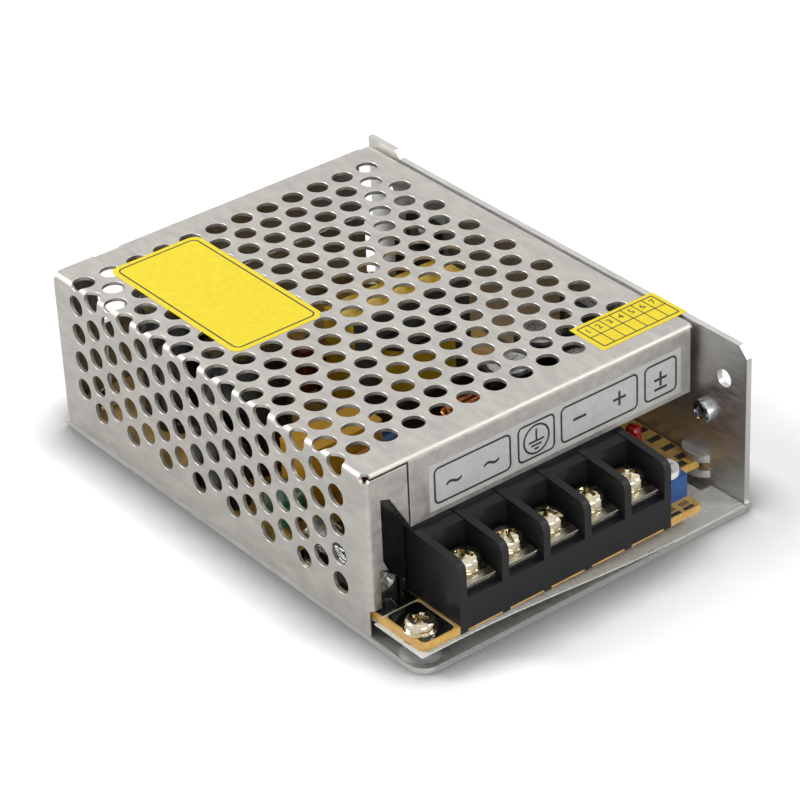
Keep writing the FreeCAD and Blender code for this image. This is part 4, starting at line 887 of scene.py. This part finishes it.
# %% Indicator
dome = [(1.5 * math.cos(math.radians(t)), 7.5 + 1.5 * math.sin(math.radians(t))) for t in range(0, 90, 10)]
foot = [(0, 0), (1.85, 0), (1.9, 0.1), (1.9, 0.8), (1.8, 0.9), (1.5, 0.95)]
bm = bmesh.new()
turned(bm, standing(65.9, 4.9, BOARD_TOP), foot + dome + [(0, 9.0)], 32)
piece("indicator_dome", bm, FINISHES["red_lens"], "case", ("indicator_led",))
print("dome points:", len(dome))

# %% [markdown]
# ## Print on the board
#
# The board carries short black marks beside its small parts. Ink is some hundredths of a millimetre thick,
# enough to catch the light on its edge, so each mark is a very low block.

# %% Marks on the board
INK = 0.04
bm = bmesh.new()
for x, y in ((74.7, 12.6), (74.7, 8.8), (74.7, 5.0), (74.7, 1.2), (72.2, -0.7)):
    block(bm, at, (x - 1.4, y - 0.75, BOARD_TOP), (x + 1.4, y + 0.75, BOARD_TOP + INK))
for x in (60.6, 63.9):
    block(bm, at, (x - 1.2, -12.6, BOARD_TOP), (x + 1.2, -11.8, BOARD_TOP + INK))
    for k in range(4):
        dash = x - 0.9 + k * 0.55
        block(bm, at, (dash, -11.3, BOARD_TOP), (dash + 0.25, -10.1, BOARD_TOP + INK))
piece("board_marks", bm, BOARD_INK)
print("marks:", 5 + 2 + 8)

# %% [markdown]
# Round the front screw the board is covered with a glossy black lacquer, the solder mask. It is a flat
# outline with round corners, and a cream line is printed along two of its sides.

# %% Pad round the front screw


def rounded(x0, x1, y0, y1, radius):
    """A rectangle with round corners."""
    points = []
    for cx, cy, first in ((x1 - radius, y1 - radius, 0), (x0 + radius, y1 - radius, 90),
                          (x0 + radius, y0 + radius, 180), (x1 - radius, y0 + radius, 270)):
        for k in range(5):
            t = math.radians(first + 22.5 * k)
            points.append((cx + radius * math.cos(t), cy + radius * math.sin(t)))
    return points


PAD_LEFT = 1.8
PAD_RIGHT = 8.9
PAD_FRONT = -12.5
PAD_REAR = -1.9
LINE_REAR = PAD_REAR + 0.35
pad = flat([rounded(PAD_LEFT, PAD_RIGHT, PAD_FRONT, PAD_REAR, 1.0)], INK)
# Behind the line the mask goes on, under the black sheet and the block.
block(pad, lambda a, b, h: (a, b, h), (1.5, LINE_REAR, -INK / 2), (9.5, 24.0, INK / 2))
for point in pad.verts:
    point.co = at(point.co.x, point.co.y, BOARD_TOP + INK / 2 + point.co.z)
piece("board_pad", pad, SOLDER_MASK)
bm = bmesh.new()
block(bm, at, (PAD_LEFT - 0.6, PAD_REAR, BOARD_TOP), (PAD_RIGHT + 0.2, LINE_REAR, BOARD_TOP + INK))
block(bm, at, (PAD_RIGHT, PAD_FRONT + 0.8, BOARD_TOP), (PAD_RIGHT + 0.2, PAD_REAR, BOARD_TOP + INK))
piece("board_line", bm, PALE_INK)
print("pad:", round(PAD_RIGHT - PAD_LEFT, 2), "by", round(PAD_REAR - PAD_FRONT, 2), "mm")

# %% [markdown]
# ## Print on the labels
#
# The large sticker has a plain border, and the small one is a ruled grid with numbers in it. The strip over
# the terminals has rounded boxes with the usual signs for mains, earth and the outputs. All of them are flat
# outlines, laid on their label by a place function.

# %% Outlines for print
PRINT = 0.03


def ring(x0, x1, y0, y1, radius, line):
    """The outline of a line that runs round a rounded rectangle."""
    inner = rounded(x0 + line, x1 - line, y0 + line, y1 - line, max(radius - line, 0.05))
    return [rounded(x0, x1, y0, y1, radius), inner]


def bar(x0, x1, y0, y1):
    """The outline of a straight line."""
    return [(x0, y0), (x1, y0), (x1, y1), (x0, y1)]


def sign(text, x, y, size):
    """A sign or a number as a closed mesh, centred on a point."""
    letter = bpy.data.curves.new("sign", "FONT")
    letter.body = text
    letter.size = size
    letter.align_x = "CENTER"
    letter.align_y = "CENTER"
    letter.extrude = PRINT / 2
    bm = made_solid(letter)
    for point in bm.verts:
        point.co.x += x
        point.co.y += y
    return bm


def printed(name, shapes, place):
    """Joins flat meshes into one piece of ink and lays it on its label."""
    whole = bmesh.new()
    for bm in shapes:
        mesh = bpy.data.meshes.new("part")
        bm.to_mesh(mesh)
        bm.free()
        whole.from_mesh(mesh)
    for point in whole.verts:
        point.co = place(*point.co)
    piece(name, whole, LABEL_INK)


print("print is", PRINT, "mm thick")

# %% [markdown]
# Both stickers lie on the cover's top, so their print is laid a hair above 34.6 mm. The small one has seven
# columns in two rows. The numbers are letters of Blender's own font, which is plain enough for a label.

# %% Print on the stickers
STICKER_TOP = 34.6
GRID_LEFT = 58.8
COLUMN = 2.63


def on_top(x, y, h):
    """A place on the upper face of the stickers."""
    return at(x, y, STICKER_TOP + PRINT / 2 + h)


printed("sticker_large_print", [flat(ring(9.2, 27.6, 48.8, 87.6, 1.4, 0.3), PRINT)], on_top)
grid = [flat(ring(GRID_LEFT, 77.2, 4.7, 12.5, 0.3, 0.25), PRINT), flat([bar(58.9, 77.1, 8.5, 8.7)], PRINT)]
for k in range(1, 7):
    x = GRID_LEFT + k * COLUMN
    grid.append(flat([bar(x - 0.1, x + 0.1, 4.8, 12.4)], PRINT))
grid += [sign(str(k + 1), GRID_LEFT + (k + 0.5) * COLUMN, 10.6, 2.2) for k in range(7)]
printed("sticker_small_print", grid, on_top)
print("lines and numbers of the grid:", len(grid))

# %% [markdown]
# The strip stands upright on the cover's front lip, so its place function swaps height and depth. The earth
# sign is three bars of falling length under a stem, in a circle, and is drawn from bars because the font
# doesn't have it.

# %% Print on the strip
STRIP_FRONT = -0.1
STROKE = 0.4


def on_front(x, z, h):
    """A place on the front face of the strip."""
    return at(x, STRIP_FRONT - PRINT / 2 - h, z)


BOXES = ((15.0, 32.5), (34.0, 42.7), (44.0, 62.5), (64.0, 72.0))
SIGNS = (("~", 19.5), ("~", 28.0), ("−", 48.5), ("+", 58.0), ("±", 68.0))
strip = [flat(ring(x0, x1, 22.3, 29.9, 1.2, STROKE), PRINT) for x0, x1 in BOXES]
strip += [sign(text, x, 25.9, 6.5) for text, x in SIGNS]
strip.append(flat([circle(38.35, 26.1, 3.1, 32), circle(38.35, 26.1, 3.1 - STROKE, 32)], PRINT))
earth = [
    bar(36.55, 40.15, 25.5, 25.9), bar(37.15, 39.55, 24.7, 25.1), bar(37.85, 38.85, 23.9, 24.3),
    bar(38.15, 38.55, 25.9, 28.2)]
strip += [flat([outline], PRINT) for outline in earth]
printed("strip_print", strip, on_front)
print("boxes:", len(BOXES), "signs:", len(SIGNS) + 1)

# %% [markdown]
# ## Floor and sky
#
# The part stands on white card. The card is a plain diffuse white, and the camera sees a little glow in it,
# so that it reads as pure white. Close to the part the card is shaded by how much of the sky the part hides
# from it, which gives the narrow dark edge of a product photograph. Mirrors see a softer shade of it than
# the camera does, so that the metal stays bright.

# %% Floor
HALF_CARD = 3.0
corners = [(-HALF_CARD, -HALF_CARD, 0), (HALF_CARD, -HALF_CARD, 0), (HALF_CARD, HALF_CARD, 0),
           (-HALF_CARD, HALF_CARD, 0)]
mesh = bpy.data.meshes.new("card")
mesh.from_pydata(corners, [], [(0, 1, 2, 3)])
card = bpy.data.objects.new("card", mesh)
bpy.context.scene.collection.objects.link(card)
# Paper fibre is too fine to show, so it is drawn as faint clouds of some 7 mm: matt white, hardly uneven.
FIBRE = 20 / 3
paper = bpy.data.materials.new("white_card")
paper.use_nodes = True
tree = paper.node_tree
tree.nodes.remove(tree.nodes["Principled BSDF"])
seen = add(tree, "ShaderNodeLightPath")
fibre = add(tree, "ShaderNodeTexNoise", {"Scale": 2 * HALF_CARD / (FIBRE * MM)})
tone = add(tree, "ShaderNodeMapRange", {3: 0.86, 4: 0.9}, {0: fibre.outputs[0]})
near = add(tree, "ShaderNodeAmbientOcclusion", {"samples": 8, "Distance": 12 * MM})
steep = add(tree, "ShaderNodeMapRange", {3: 0.8, 4: 2.5}, {0: seen.outputs["Is Camera Ray"]})
contact = add(tree, "ShaderNodeMath", {"operation": "POWER"}, {0: near.outputs["AO"], 1: steep.outputs[0]})
shaded = add(tree, "ShaderNodeMath", {"operation": "MULTIPLY"}, {0: tone.outputs[0], 1: contact.outputs[0]})
matt = add(tree, "ShaderNodeBsdfDiffuse", {}, {"Color": shaded.outputs[0]})
through = add(tree, "ShaderNodeMath", {"operation": "MAXIMUM"},
              {0: seen.outputs["Is Camera Ray"], 1: seen.outputs["Is Transmission Ray"]})
amount = add(tree, "ShaderNodeMath", {"operation": "MULTIPLY", 1: 0.35}, {0: through.outputs[0]})
glow = add(tree, "ShaderNodeEmission", {}, {"Color": shaded.outputs[0], "Strength": amount.outputs[0]})
both = add(tree, "ShaderNodeAddShader", {}, {0: matt.outputs[0], 1: glow.outputs[0]})
tree.links.new(both.outputs[0], tree.nodes["Material Output"].inputs["Surface"])
mesh.materials.append(paper)
print("nodes of the card:", len(tree.nodes))

# %% [markdown]
# The sky lights softly from all round. Whatever looks straight at it, eye, mirror or glass, sees white, but
# it lights the part at a lower level, so that the lamps can shape it.

# %% Sky
world = bpy.data.worlds.new("soft_room")
bpy.context.scene.world = world
world.use_nodes = True
tree = world.node_tree
seen = add(tree, "ShaderNodeLightPath")
direct = add(tree, "ShaderNodeMath", {"operation": "MAXIMUM"},
             {0: seen.outputs["Is Camera Ray"], 1: seen.outputs["Is Glossy Ray"]})
through = add(tree, "ShaderNodeMath", {"operation": "MAXIMUM"},
              {0: direct.outputs[0], 1: seen.outputs["Is Transmission Ray"]})
level = add(tree, "ShaderNodeMapRange", {3: 0.36, 4: 1.0}, {0: through.outputs[0]})
tree.links.new(level.outputs[0], tree.nodes["Background"].inputs["Strength"])
tree.nodes["Background"].inputs["Color"].default_value = (1, 1, 1, 1)
print("nodes of the sky:", len(tree.nodes))

# %% [markdown]
# ## Lamps
#
# Three square soft boxes do the rest. A fold mirrors a lamp to the camera where its face looks halfway
# between the two. So the key stands behind on the left for the left fold, and the edge lamp in front on the
# right for the top's front fold. The front lamp stands low and fills the terminals.

# %% Lamps
PART_MIDDLE = Vector((0, 0, 0.015))


def lamp(name, place, size, power):
    """A square soft box that looks at the middle of the part, with its size in metres and power in watts."""
    light = bpy.data.lights.new(name, "AREA")
    light.size = size
    light.energy = power
    thing = bpy.data.objects.new(name, light)
    bpy.context.scene.collection.objects.link(thing)
    thing.location = place
    thing.rotation_mode = "QUATERNION"
    thing.rotation_quaternion = (PART_MIDDLE - Vector(place)).to_track_quat("-Z", "Y")


lamp("key", (-0.42, 0.47, 0.56), 0.3, 4.6)
lamp("edge", (0.46, -0.48, 0.61), 0.2, 1.5)
lamp("front", (-0.2, -0.75, 0.16), 0.4, 2.5)
bpy.context.scene.view_settings.view_transform = "Standard"
print("lamps: 3")

# %% [markdown]
# ## Camera
#
# The camera stands in front, to the left and well above, some 600 mm away, with a long lens. Its
# place was found from the corners of the case and the regular rows of holes. A camera that is only pointed
# at its subject stands level, and this one leans by a few degrees, so it is rolled about its own axis.

# %% Camera
EYE = at(-267.8, -364.6, 332.6)
LOOKS_AT = at(37.3, 37.8, 17.0)
ROLL = math.radians(2.73)
LENS = 144.14
camera = bpy.data.cameras.new("camera")
camera.sensor_fit = "HORIZONTAL"
camera.sensor_width = 36.0
camera.lens = LENS
eye = bpy.data.objects.new("camera", camera)
bpy.context.scene.collection.objects.link(eye)
eye.location = EYE
eye.rotation_mode = "QUATERNION"
eye.rotation_quaternion = (LOOKS_AT - EYE).to_track_quat("-Z", "Y") @ Quaternion((0, 0, 1), -ROLL)
bpy.context.view_layer.update()
bpy.context.scene.camera = eye
print("camera at", eye.matrix_world.translation, "its right side points to", eye.matrix_world.to_3x3().col[0])
